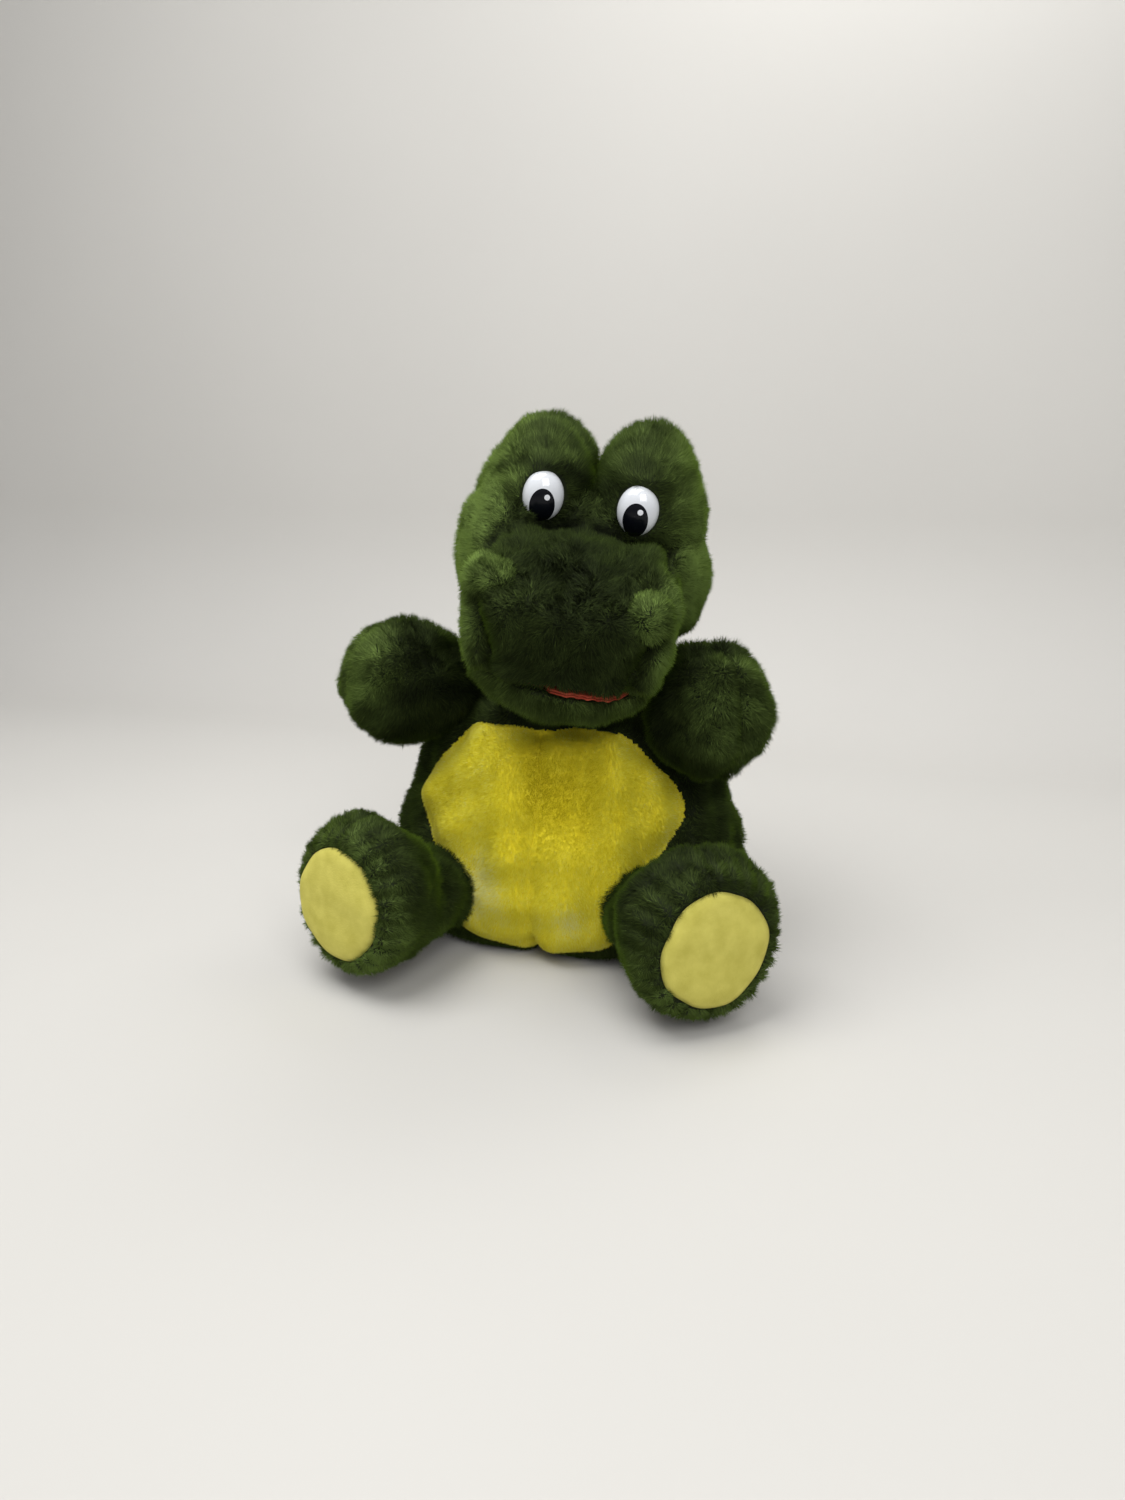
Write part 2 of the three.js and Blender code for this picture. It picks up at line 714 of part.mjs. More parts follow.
buildBody();
buildBodyFill();
buildSleeve();
buildNeck();
buildHead();
for (const [name, side] of SIDES) {
  buildArm(name, side);
  buildLeg(name, side);
}

export default puppet;
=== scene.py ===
"""Looks of a sitting plush crocodile hand puppet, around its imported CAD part.

Shapes are worked out in millimetres in the local frame of the body that they move with,
and become metres in the row frame when a mesh is made.
"""

import json
import math

import bpy
import numpy as np
from mathutils import Matrix, Vector


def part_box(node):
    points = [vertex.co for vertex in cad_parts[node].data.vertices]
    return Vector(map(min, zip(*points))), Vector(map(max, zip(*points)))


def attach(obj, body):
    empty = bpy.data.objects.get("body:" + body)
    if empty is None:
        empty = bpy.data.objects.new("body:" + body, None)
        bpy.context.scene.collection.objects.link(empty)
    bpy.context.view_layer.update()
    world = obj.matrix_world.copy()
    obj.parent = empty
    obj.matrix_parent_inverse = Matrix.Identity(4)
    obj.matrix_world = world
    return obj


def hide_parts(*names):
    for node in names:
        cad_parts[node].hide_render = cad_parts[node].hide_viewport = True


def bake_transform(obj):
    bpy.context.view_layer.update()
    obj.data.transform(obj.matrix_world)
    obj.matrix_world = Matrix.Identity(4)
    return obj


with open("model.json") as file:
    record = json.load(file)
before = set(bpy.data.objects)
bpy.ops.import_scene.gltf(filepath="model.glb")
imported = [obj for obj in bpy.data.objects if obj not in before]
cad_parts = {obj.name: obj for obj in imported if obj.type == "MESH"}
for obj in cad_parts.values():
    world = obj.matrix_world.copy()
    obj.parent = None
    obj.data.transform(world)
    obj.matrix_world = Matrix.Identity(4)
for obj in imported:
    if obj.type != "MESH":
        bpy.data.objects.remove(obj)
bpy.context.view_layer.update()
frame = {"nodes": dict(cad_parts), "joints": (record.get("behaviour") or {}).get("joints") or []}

MM = 0.001
SIDES = (("left", 1), ("right", -1))
JOINTS = {joint["name"]: joint for joint in frame["joints"]}

# ---- sizes, in millimetres ----
CELL = 4.0
MIDDLE_CELL = 3.2
FINE_CELL = 2.2
MOST_SPIKES = 60000
TONES = 8
PLUSH = 1.2
FLOOR = 0.3
SIM_FRAMES = 20
SIM_PRESSURE = 4.0

CRANIUM = ((0, -1, 45), (64, 61, 58))
SNOUT = {"half_width": 53, "front": 122, "low": 17.5, "round": 17}
MOUND = ((28, -7, 89), (27.5, 41.5, 36.5))
MOUND_TALLER = {"left": 5.5, "right": 2}
CHEEKS = {"left": ((45, -20, 54), (24, 36, 34)), "right": ((-44, -28, 57), (23.5, 38, 38))}
NOSTRILS = {
    "left": ((39.5, -108, 55), (10.5, 13.5, 12)),
    "right": ((-40, -99, 61), (11.5, 14, 8)),
}
NECK_BALL = 49
MOUTH_TOP = 16.9
JAW = ((0, -66, 14.5), (51, 54, 26))
JAW_TOP = 13.5
HINGE_Y = -36
LIP_FRONT = 112
FELT_LEVELS = (15.7, 14.3)
BOARD_SHARE = 0.84
EYE = {"x": 25.5, "z": 94, "wide": 11.3, "high": 13.5, "rise": 8, "sunk": 1.5, "toe_in": 6}
PUPIL = {"at": (0, -4.3), "semi": (6.8, 9.2), "proud": 0.12}
GLINT = {"at": (2.2, 0.6), "semi": (1.5, 1.5), "proud": 0.22}

BODY_PROFILE = (
    (80, 0), (95, 6), (103, 16), (107, 40), (104, 64), (97, 88),
    (87, 112), (75, 132), (61, 147), (49, 157),
)
BODY_DEPTH = 0.735
COLLAR = {"y": 8, "radius": 44.5, "top": 157}
CHANNEL = {"rx": 40, "ry": 38, "y": 6, "bottom": 22}
PORT = {"rx": 44.8, "rz": 36.5, "z": 70}
BELLY_OUTLINE = (
    (0, 5), (26, 8), (46, 16), (55, 36), (66, 60), (77, 80), (80, 90),
    (74, 103), (58, 121), (43, 133), (22, 135), (0, 134),
)
DENT = {"at": (14, 100), "radius": 20, "depth": 9}

ARM = {"root": 22, "paw": ((0, -38, -1), (29.5, 32.5, 34.5)), "lift": {"left": 8, "right": 16}}
LEG_PROFILE = (
    (-84.5, 30), (-83, 33), (-79, 36.5), (-70, 39), (-60, 38), (-48, 33.5),
    (-32, 26.5), (-14, 21.5), (4, 20), (18, 17), (27, 10), (30, 2),
)
INSTEP = {"left": 8.5, "right": 7}
SOLE = {"radius": 30.5, "at": -84, "crown": 2.2, "turn": {"left": 0, "right": 0.09}}


# ---- local frames ----

def axes_matrix(x, y, z, origin):
    """The matrix from a local frame with those axes to the row frame, in millimetres."""
    columns = [*(Vector(axis).normalized() for axis in (x, y, z)), Vector(origin) / MM]
    return np.array([[column[i] for column in columns] for i in range(3)])


def head_frame():
    """The head's frame: its pivot in the neck, X across, -Y along the muzzle, Z up."""
    pivot = Vector(JOINTS["neck_turn"]["pos_m"])
    across = Vector(JOINTS["jaw_open"]["axis"]).normalized()
    to_hinge = (Vector(JOINTS["jaw_open"]["pos_m"]) - pivot).normalized()
    over = across.cross(to_hinge)
    hinge = Vector((-36, 15)).normalized()
    back = to_hinge * hinge[0] - over * hinge[1]
    return axes_matrix(across, back, across.cross(back), pivot)


def limb_frame(joint, back):
    """A limb's frame: its joint, X across, and back, which the limb points away from."""
    across = -Vector(JOINTS[joint]["axis"]).normalized()
    back = (back - across * back.dot(across)).normalized()
    return axes_matrix(across, back, across.cross(back), JOINTS[joint]["pos_m"])


def arm_frame(name):
    across = -Vector(JOINTS[f"{name}_arm_swing"]["axis"]).normalized()
    level = Vector((0, 0, 1)).cross(across)
    lift = math.radians(ARM["lift"][name])
    return limb_frame(f"{name}_arm_swing", level * math.cos(lift) - Vector((0, 0, math.sin(lift))))


def leg_frame(name):
    low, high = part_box(f"foot_sole_{name}")
    hip = Vector(JOINTS[f"{name}_leg_swing"]["pos_m"])
    return limb_frame(f"{name}_leg_swing", hip - (low + high) / 2)


def to_row(points, local):
    return points @ local[:, :3].T + local[:, 3]


def to_local(points, local):
    return (points - local[:, 3]) @ local[:, :3]


HEAD = head_frame()
ROW = np.array([[1, 0, 0, 0], [0, 1, 0, 0], [0, 0, 1, 0]], float)
ARMS = {name: arm_frame(name) for name, _ in SIDES}
LEGS = {name: leg_frame(name) for name, _ in SIDES}


# ---- distance fields, negative inside ----

def ellipsoid(p, at, semi):
    q = (p - np.array(at, float)) / np.array(semi, float)
    near = np.linalg.norm(q, axis=1)
    slope = np.linalg.norm(q / np.array(semi, float), axis=1)
    return near * (near - 1) / np.maximum(slope, 1e-6)


def rounded_box(p, low, high, radius):
    low, high = np.array(low, float), np.array(high, float)
    q = np.abs(p - (low + high) / 2) - ((high - low) / 2 - radius)
    return np.linalg.norm(np.maximum(q, 0), axis=1) + np.minimum(q.max(axis=1), 0) - radius


def joined(a, b, soft):
    """Union of two fields, rounded where they meet."""
    h = np.clip(0.5 + 0.5 * (b - a) / soft, 0, 1)
    return b * (1 - h) + a * h - soft * h * (1 - h)


def carved(a, b, soft):
    """Field a without b, rounded where they meet."""
    return -joined(-a, b, soft)


def bump(distance, width):
    """1 where the distance is 0, falling smoothly to 0 past the width."""
    return np.exp(-((distance / width) ** 2))


def step(value, low, high):
    """0 below low, 1 above high, and smooth between."""
    t = np.clip((value - low) / (high - low), 0, 1)
    return t * t * (3 - 2 * t)


def waves(p, wavelength, seed, count=14):
    """A smooth random vector field of about unit size, the same on every run."""
    rng = np.random.default_rng(seed)
    turn = rng.normal(size=(count, 3))
    turn *= 2 * math.pi / wavelength / np.linalg.norm(turn, axis=1)[:, None]
    turn *= rng.uniform(0.6, 1.5, (count, 1))
    swing = np.sin(p @ turn.T + rng.uniform(0, 2 * math.pi, count))
    return swing @ rng.normal(size=(count, 3)) / math.sqrt(count / 2)


def near_path(p, path):
    """Distance of each point from a line through the path's points."""
    best = np.full(len(p), 1e9)
    for start, end in zip(path[:-1], path[1:]):
        start, along = np.array(start, float), np.array(end, float) - np.array(start, float)
        t = np.clip((p - start) @ along / (along @ along), 0, 1)
        best = np.minimum(best, np.linalg.norm(p - start - t[:, None] * along, axis=1))
    return best


# ---- meshes ----

def net(field, low, high, cell):
    """(points, quads) of the zero surface of a field that is positive all round the box."""
    low = np.array(low, float)
    count = np.ceil((np.array(high, float) - low) / cell).astype(int) + 1
    grid = np.stack(np.meshgrid(*(low[i] + cell * np.arange(count[i]) for i in range(3)),
                                indexing="ij"), -1)
    value = field(grid.reshape(-1, 3)).reshape(count)
    total, hits, edges = np.zeros((*(count - 1), 3)), np.zeros(count - 1), []
    for axis in range(3):
        first, last = [slice(None)] * 3, [slice(None)] * 3
        first[axis], last[axis] = slice(0, -1), slice(1, None)
        a, b = value[tuple(first)], value[tuple(last)]
        crosses = (a < 0) != (b < 0)
        where = np.argwhere(crosses)
        at = low + where * cell
        at[:, axis] += a[crosses] / (a[crosses] - b[crosses]) * cell
        u, v = (i for i in range(3) if i != axis)
        ring = []
        for du, dv in ((0, 0), (1, 0), (1, 1), (0, 1)):
            corner = where.copy()
            corner[:, u] -= du
            corner[:, v] -= dv
            np.add.at(total, tuple(corner.T), at)
            np.add.at(hits, tuple(corner.T), 1)
            ring.append(corner)
        edges.append((ring, (a[crosses] < 0) == (axis != 1)))
    used = hits > 0
    index = np.full(count - 1, -1)
    index[used] = np.arange(used.sum())
    quads = []
    for ring, forward in edges:
        quad = np.stack([index[tuple(corner.T)] for corner in ring], 1)
        quads.append(np.where(forward[:, None], quad, quad[:, ::-1]))
    points = total[used] / hits[used][:, None]
    return settled(field, points, cell), np.concatenate(quads)


def settled(field, points, cell):
    """Points moved onto the zero surface of the field."""
    reach = 0.2 * cell
    for _ in range(2):
        value = field(points)
        slope = np.stack([(field(points + reach * axis) - field(points - reach * axis))
                          / (2 * reach) for axis in np.eye(3)], 1)
        size = np.maximum((slope ** 2).sum(1), 0.2)
        points = points - np.clip(value / size, -cell, cell)[:, None] * slope
    return points


def made(name, points, faces, local=ROW):
    """A smooth mesh object from local points in millimetres and faces, each a row of point numbers."""
    mesh = bpy.data.meshes.new(name)
    mesh.from_pydata(to_row(points, local) * MM, [], [[int(i) for i in face] for face in faces])
    mesh.update()
    mesh.shade_smooth()
    made_object = bpy.data.objects.new(name, mesh)
    bpy.context.scene.collection.objects.link(made_object)
    return made_object


def grid(name, rows, local, ring=False):
    """A sheet from rows of points, each closed on itself for a ring."""
    index = np.arange(rows.shape[0] * rows.shape[1]).reshape(rows.shape[:2])
    if ring:
        index = np.concatenate([index, index[:, :1]], 1)
    faces = np.stack([index[:-1, :-1], index[:-1, 1:], index[1:, 1:], index[1:, :-1]], -1)
    return made(name, rows.reshape(-1, 3), faces.reshape(-1, 4), local)


def disc(name, rings, local):
    """A sheet from rings of points, the smallest first, closed at their middle."""
    count, around = rings.shape[:2]
    middle = count * around
    index = np.arange(middle).reshape(count, around)
    index = np.concatenate([index, index[:, :1]], 1)
    faces = [(index[i, k], index[i, k + 1], index[i + 1, k + 1], index[i + 1, k])
             for i in range(count - 1) for k in range(around)]
    faces += [(index[0, k + 1], index[0, k], middle) for k in range(around)]
    points = np.concatenate([rings.reshape(-1, 3), rings[0].mean(0)[None]])
    return made(name, points, faces, local)


def coordinates(mesh):
    found = np.zeros(len(mesh.vertices) * 3)
    mesh.vertices.foreach_get("co", found)
    return found.reshape(-1, 3) / MM


def normals(mesh):
    found = np.zeros(len(mesh.vertices) * 3)
    mesh.vertices.foreach_get("normal", found)
    return found.reshape(-1, 3)


def move(mesh, points):
    mesh.vertices.foreach_set("co", (points * MM).ravel())
    mesh.update()


def stuffed(made_object, held, limit):
    """Swells a closed skin by a cloth simulation, held where held is true, by at most limit."""
    rest = coordinates(made_object.data)
    group = made_object.vertex_groups.new(name="held")
    group.add(np.flatnonzero(held).tolist(), 1.0, "REPLACE")
    cloth = made_object.modifiers.new("stuffing", "CLOTH")
    cloth.settings.use_pressure = True
    cloth.settings.uniform_pressure_force = SIM_PRESSURE
    cloth.settings.effector_weights.gravity = 0
    cloth.settings.vertex_group_mass = "held"
    cloth.point_cache.frame_start, cloth.point_cache.frame_end = 1, SIM_FRAMES
    for number in range(1, SIM_FRAMES + 1):
        bpy.context.scene.frame_set(number)
    shown = made_object.evaluated_get(bpy.context.evaluated_depsgraph_get())
    pushed = coordinates(shown.data) - rest
    made_object.modifiers.remove(cloth)
    made_object.vertex_groups.clear()
    bpy.context.scene.frame_set(1)
    far = np.linalg.norm(pushed, axis=1)[:, None]
    move(made_object.data, rest + pushed * np.minimum(1, limit / np.maximum(far, 1e-9)))


def subdivided(made_object):
    modifier = made_object.modifiers.new("finer", "SUBSURF")
    modifier.levels = modifier.render_levels = 1
    shown = made_object.evaluated_get(bpy.context.evaluated_depsgraph_get())
    mesh = bpy.data.meshes.new_from_object(shown)
    made_object.modifiers.remove(modifier)
    made_object.data = mesh
    mesh.shade_smooth()


def shaped(made_object, local, change):
    """Moves each point along its normal by change(local point), in millimetres."""
    mesh = made_object.data
    points = coordinates(mesh)
    by = change(to_local(points, local))
    move(mesh, points + normals(mesh) * by[:, None])


def floor_level(made_object):
    """Flattens what would reach below the floor."""
    points = coordinates(made_object.data)
    points[:, 2] = np.maximum(points[:, 2], FLOOR)
    move(made_object.data, points)


def sewn(name, field, low, high, cell, held, limit, change, local=ROW):
    """The skin of a field, swelled by its stuffing, made finer and then shaped."""
    skin = made(name, *net(field, low, high, cell), local)
    stuffed(skin, held(to_local(coordinates(skin.data), local)), limit)
    subdivided(skin)
    shaped(skin, local, change)
    return skin


def panels(whole, local, choose, names):
    """Splits a skin into one object for each name, by choose(local face centres)."""
    mesh = whole.data
    centre = np.zeros(len(mesh.polygons) * 3)
    mesh.polygons.foreach_get("center", centre)
    which = choose(to_local(centre.reshape(-1, 3) / MM, local))
    corners = np.array([tuple(face.vertices) for face in mesh.polygons])
    points, found = coordinates(mesh), {}
    for number, name in enumerate(names):
        faces = corners[which == number]
        kept, faces = np.unique(faces, return_inverse=True)
        found[name] = made(name, points[kept], faces.reshape(-1, corners.shape[1]))
    bpy.data.objects.remove(whole)
    return found


def thickened(made_object, thickness, offset=-1):
    """Gives a skin the thickness of its cloth, inwards unless offset says otherwise."""
    modifier = made_object.modifiers.new("cloth", "SOLIDIFY")
    modifier.thickness = thickness * MM
    modifier.offset = offset


# ---- materials ----

def srgb(red, green, blue):
    """A linear colour from 0 to 255 screen values."""
    def linear(value):
        value /= 255
        return value / 12.92 if value <= 0.04045 else ((value + 0.055) / 1.055) ** 2.4
    return (linear(red), linear(green), linear(blue), 1)


def blank(name, roughness, sheen=0.0, tint=(1, 1, 1, 1), specular=0.3):
    material = bpy.data.materials.new(name)
    material.use_nodes = True
    shader = material.node_tree.nodes["Principled BSDF"]
    shader.inputs["Roughness"].default_value = roughness
    shader.inputs["Sheen Weight"].default_value = sheen
    shader.inputs["Sheen Roughness"].default_value = 0.45
    shader.inputs["Sheen Tint"].default_value = tint
    shader.inputs["Specular IOR Level"].default_value = specular
    return material, shader


def pile_material(name, colour, sheen, tint):
    material, shader = blank(name, 0.72, sheen, tint, 0.06)
    shader.inputs["Base Color"].default_value = colour
    return material


def mottled(material, shader, scale, dark, light, ends=(0, 1), detail=2):
    """Colours the shader with noise from dark to light; returns the place node that drives it."""
    nodes, links = material.node_tree.nodes, material.node_tree.links
    where, mottle, ramp = (nodes.new(kind) for kind in
                           ("ShaderNodeTexCoord", "ShaderNodeTexNoise", "ShaderNodeValToRGB"))
    mottle.inputs["Scale"].default_value = scale
    mottle.inputs["Detail"].default_value = detail
    for stop, end, colour in zip(ramp.color_ramp.elements, ends, (dark, light)):
        stop.position, stop.color = end, colour
    links.new(where.outputs["Object"], mottle.inputs["Vector"])
    links.new(mottle.outputs["Fac"], ramp.inputs["Fac"])
    links.new(ramp.outputs["Color"], shader.inputs["Base Color"])
    return where


def cloth_material(name, dark, light, scale, roughness=0.9, relief=0.3, sheen=0.3, weave=0):
    """Mottled cloth; weave is threads per metre, and 0 gives a felted surface."""
    material, shader = blank(name, roughness, sheen, light, 0.2)
    nodes, links = material.node_tree.nodes, material.node_tree.links
    where = mottled(material, shader, scale, dark, light, (0.3, 0.7), 8)
    height = nodes.new("ShaderNodeTexVoronoi" if weave else "ShaderNodeTexNoise")
    height.inputs["Scale"].default_value = weave or scale * 9
    relief_node = nodes.new("ShaderNodeBump")
    relief_node.inputs["Strength"].default_value = relief
    relief_node.inputs["Distance"].default_value = 0.4 * MM
    links.new(where.outputs["Object"], height.inputs["Vector"])
    links.new(height.outputs[0], relief_node.inputs["Height"])
    links.new(relief_node.outputs["Normal"], shader.inputs["Normal"])
    return material


def plastic_material(name, dark, light, roughness, gloss=0.6):
    material = cloth_material(name, dark, light, 25, roughness, 0.02, 0)
    shader = material.node_tree.nodes["Principled BSDF"]
    shader.inputs["Coat Weight"].default_value = gloss
    shader.inputs["Coat Roughness"].default_value = 0.05
    shader.inputs["Specular IOR Level"].default_value = 0.8 * gloss
    return material


def tones(*stops):
    """TONES linear colours spread evenly along the stops."""
    at = np.linspace(0, len(stops) - 1, TONES)
    channels = np.array([srgb(*stop) for stop in stops]).T
    spread = [np.interp(at, range(len(stops)), channel) for channel in channels]
    return [tuple(colour) for colour in np.stack(spread, 1)]


# Each pile's tones run from dark to light. Besides tone that differs at random, the styles pick darker
# tones as painted shade and paler tones as painted light.
GREENS = tones((20, 25, 11), (40, 49, 22), (62, 75, 35), (104, 125, 62))
YELLOWS = tones((196, 178, 20), (236, 220, 38), (250, 240, 74), (250, 246, 150))
LOOKS = {
    # The green skin is darker than its pile: painted shade for the depth between the tufts.
    "green_skin": cloth_material("green_skin", srgb(24, 30, 14), srgb(38, 46, 22), 60),
    "yellow_skin": cloth_material("yellow_skin", srgb(232, 214, 40), srgb(246, 230, 60), 60),
    "sole": cloth_material("sole_velour", srgb(180, 172, 78), srgb(200, 192, 96), 110, 0.9, 0.5, 0.4),
    "felt": cloth_material("red_felt", srgb(136, 48, 32), srgb(172, 76, 54), 240, 0.95, 0.8, 0.4),
    "lining": cloth_material("lining_cloth", srgb(34, 42, 24), srgb(52, 62, 36), 70, 0.85, 0.5, 0.1, 900),
    "board": cloth_material("stiff_board", srgb(140, 128, 108), srgb(166, 152, 130), 50, 0.8, 0.2, 0),
    "white": plastic_material("eye_white", srgb(206, 209, 214), srgb(216, 219, 223), 0.12),
    "pupil": plastic_material("eye_black", srgb(6, 7, 13), srgb(10, 12, 19), 0.3, 0.15),
    "glint": plastic_material("eye_glint", srgb(214, 216, 222), srgb(228, 230, 234), 0.2),
}
PILES = {
    "green": [pile_material(f"green_pile_{i}", colour, 0.35, srgb(112, 146, 30))
              for i, colour in enumerate(GREENS)],
    "yellow": [pile_material(f"yellow_pile_{i}", colour, 0.4, srgb(250, 240, 120))
               for i, colour in enumerate(YELLOWS)],
}


def dressed(made_object, look):
    made_object.data.materials.clear()
    made_object.data.materials.append(LOOKS[look])
    return made_object


# ---- pile: every tuft is a thin three-sided spike, lit as the skin under it is ----

def roots(mesh, density, rng):
    """(points, normals) scattered over a mesh, density to the square millimetre."""
    mesh.calc_loop_triangles()
    corners = np.zeros(len(mesh.loop_triangles) * 3, int)
    mesh.loop_triangles.foreach_get("vertices", corners)
    corners = corners.reshape(-1, 3)
    points, lean = coordinates(mesh), normals(mesh)
    a, b, c = (points[corners[:, i]] for i in range(3))
    area = np.linalg.norm(np.cross(b - a, c - a), axis=1) / 2
    count = int(area.sum() * density)
    which = rng.choice(len(area), count, p=area / area.sum())
    u, v = rng.random(count), rng.random(count)
    over = u + v > 1
    u[over], v[over] = 1 - u[over], 1 - v[over]
    share = np.stack([1 - u - v, u, v], 1)[:, :, None]
    at = (points[corners[which]] * share).sum(1)
    up = (lean[corners[which]] * share).sum(1)
    return at, up / np.linalg.norm(up, axis=1)[:, None]


def unit(vectors):
    return vectors / np.maximum(np.linalg.norm(vectors, axis=1), 1e-9)[:, None]


def pile(skin, kind, length, density, comb, seed, lean=0.5, width=0.55, style=None, local=ROW,
         tousle=1.0, patchy=0.07):
    """Pile on a skin. comb is the lie of the pile; style(local points) gives a length share
    and a paleness from 0 to 1 that picks each spike's tone, which the styles use for painted light and
    shade."""
    rng = np.random.default_rng(seed)
    at, up = roots(skin.data, density, rng)
    where = to_local(at, local)
    share, pale = style(where) if style else (np.ones(len(at)), np.full(len(at), 0.5))
    kept = share > 0.05
    at, up, share, pale = at[kept], up[kept], share[kept], pale[kept]
    count = len(at)
    lie = np.array(comb(where[kept]), float)
    lie = lie @ local[:, :3].T if lie.ndim > 1 else np.tile(local[:, :3] @ lie, (count, 1))
    lie = lie + tousle * (0.6 * waves(at, 26, seed + 1) + 0.4 * waves(at, 8, seed + 2))
    lie = lie + 0.3 * rng.normal(size=(count, 3))
    lie -= up * (lie * up).sum(1)[:, None]
    lie = unit(lie) * np.minimum(1.2, np.linalg.norm(lie, axis=1))[:, None]
    long = length * share * rng.uniform(0.78, 1.1, count)
    long *= 1 + 0.13 * tousle * waves(at, 7, seed + 3)[:, 0]
    along = unit(up + lean * lie + 0.14 * rng.normal(size=(count, 3)))
    across = unit(np.cross(along, rng.normal(size=(count, 3))))
    beside = np.cross(along, across)
    corners = []
    for angle in np.arange(3) * 2 * math.pi / 3:
        out = math.cos(angle) * across + math.sin(angle) * beside
        corners.append(at - up * 0.3 + out * width / 2)
    points = np.stack([*corners, at + along * long[:, None]], 1)
    points[:, :, 2] = np.maximum(points[:, :, 2], FLOOR)
    pale = pale + patchy * waves(at, 15, seed + 4)[:, 1] + rng.normal(0, 0.12, count)
    tone = np.clip(np.round(pale * (TONES - 1)), 0, TONES - 1).astype(int)
    facing = unit(up + 0.2 * along)
    pieces = math.ceil(count / MOST_SPIKES)
    return [spikes(f"{skin.name}_pile_{i}", kind, points[i::pieces], tone[i::pieces], facing[i::pieces])
            for i in range(pieces)]


def spikes(name, kind, points, tone, facing):
    """One mesh of spikes, from (spike, corner, xyz) points with the tip last."""
    count = len(points)
    mesh = bpy.data.meshes.new(name)
    mesh.vertices.add(count * 4)
    mesh.vertices.foreach_set("co", (points * MM).ravel())
    loops = np.arange(count)[:, None] * 4 + np.array([0, 1, 3, 1, 2, 3, 2, 0, 3])
    mesh.loops.add(count * 9)
    mesh.loops.foreach_set("vertex_index", loops.ravel())
    mesh.polygons.add(count * 3)
    mesh.polygons.foreach_set("loop_start", np.arange(count * 3) * 3)
    mesh.polygons.foreach_set("material_index", np.repeat(tone, 3))
    for material in PILES[kind]:
        mesh.materials.append(material)
    mesh.update(calc_edges=True)
    mesh.shade_smooth()
    mesh.normals_split_custom_set_from_vertices(np.repeat(facing, 4, 0).tolist())
    made_object = bpy.data.objects.new(name, mesh)
    bpy.context.scene.collection.objects.link(made_object)
    return made_object


def covered(skin, kind, length, density, comb, seed, nodes, fill, cloth=0, **lie):
    """A padded skin dressed in its plush, in place of nodes: the skin and its pile together."""
    dressed(skin, f"{kind}_skin")
    fur = pile(skin, kind, length, density, comb, seed, **lie)
    if cloth:
        thickened(skin, cloth)
    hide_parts(*nodes)
    return skin, *fur


# ---- the head ----

def snout(p):
    box = rounded_box(p, (-SNOUT["half_width"], -SNOUT["front"], SNOUT["low"] - 12),
                      (SNOUT["half_width"], -10, 82), SNOUT["round"])
    slope = (p[:, 2] - 65 - (p[:, 1] + 104) * 12 / 52) * 0.97
    brow = (p[:, 2] - 56 + (p[:, 1] + 117) * -0.72) * 0.8
    top = np.maximum(slope, brow)
    narrow = (np.abs(p[:, 0]) - 43.5 - 0.3 * (p[:, 2] - 8)) * 0.96
    return carved(carved(box, -top, 9), -narrow, 10)


def head_field(p):
    skull = ellipsoid(p, *CRANIUM)
    field = joined(skull, snout(p), 7)
    for cheek in CHEEKS.values():
        field = joined(field, ellipsoid(p, *cheek), 8)
    below = np.maximum(p[:, 2] - MOUTH_TOP, p[:, 1] + 30)
    field = carved(field, below, 2.5)
    return carved(field, np.linalg.norm(p, axis=1) - NECK_BALL, 2)


CHEEK_LINE = ((44, -36, 78), (45, -52, 72), (46, -70, 66), (50, -88, 58))
FLANK_LINE = ((47, -113, 52), (41, -121, 40), (37, -122, 26), (38, -116, 14))
MOUND_FOOT = ((6, -48, 80), (18, -50, 77), (32, -50, 75), (46, -44, 73), (54, -30, 72), (56, -8, 72))


def mirrored(path, side):
    return [(side * x, y, z) for x, y, z in path]


def head_creases(p):
    """(inward depth, closeness to a crease from 0 to 1) of the head's seams and folds."""
    depth, close = np.zeros(len(p)), np.zeros(len(p))
    for _, side in SIDES:
        for path, deep, width in ((CHEEK_LINE, 9, 5.5), (FLANK_LINE, 14, 6), (MOUND_FOOT, 3, 5)):
            amount = bump(near_path(p, mirrored(path, side)), width)
            depth += deep * amount
            close = np.maximum(close, amount)
    seam = bump(p[:, 1] - 10, 2.5) * step(p[:, 2], 20, 40)
    return depth + 1.2 * seam, np.maximum(close, 0.6 * seam)


def head_panel(p):
    """0 muzzle, 1 left cheek, 2 right cheek, 3 back."""
    side = np.where(p[:, 0] > 0, 1, 2)
    front = np.where(np.abs(p[:, 0]) > 43, side, 0)
    return np.where(p[:, 1] > 10, 3, front)


def head_comb(p):
    lie = np.zeros_like(p)
    lie[:, 2] = -1
    front = step(-p[:, 1], 50, 100)
    lie[:, 1] = 0.6 * (1 - front)
    lie[:, 0] = np.sign(p[:, 0]) * 0.25
    return lie


def head_style(p):
    close = head_creases(p)[1]
    lip = 1 - 0.3 * bump(p[:, 2] - 15, 5) * (p[:, 1] < -40)
    share = (1 - 0.75 * close) * lip
    # The paleness paints light and shade: paler on the sides and at the front end of the muzzle as painted
    # light, darker on the bridge and in the creases as painted shade.
    bridge_shade = bump(p[:, 0], 36) * step(-p[:, 1], 40, 60)
    side = step(np.abs(p[:, 0]), 36, 52)
    pale = 0.46 + 0.52 * side - 0.31 * bridge_shade - 0.8 * close + 0.13 * step(-p[:, 1], 98, 116)
    under = (p[:, 2] < 17.4 + 1.6 * peeks(p[:, 0])) & (p[:, 1] < -28)
    return np.where(under, 0, share), pale


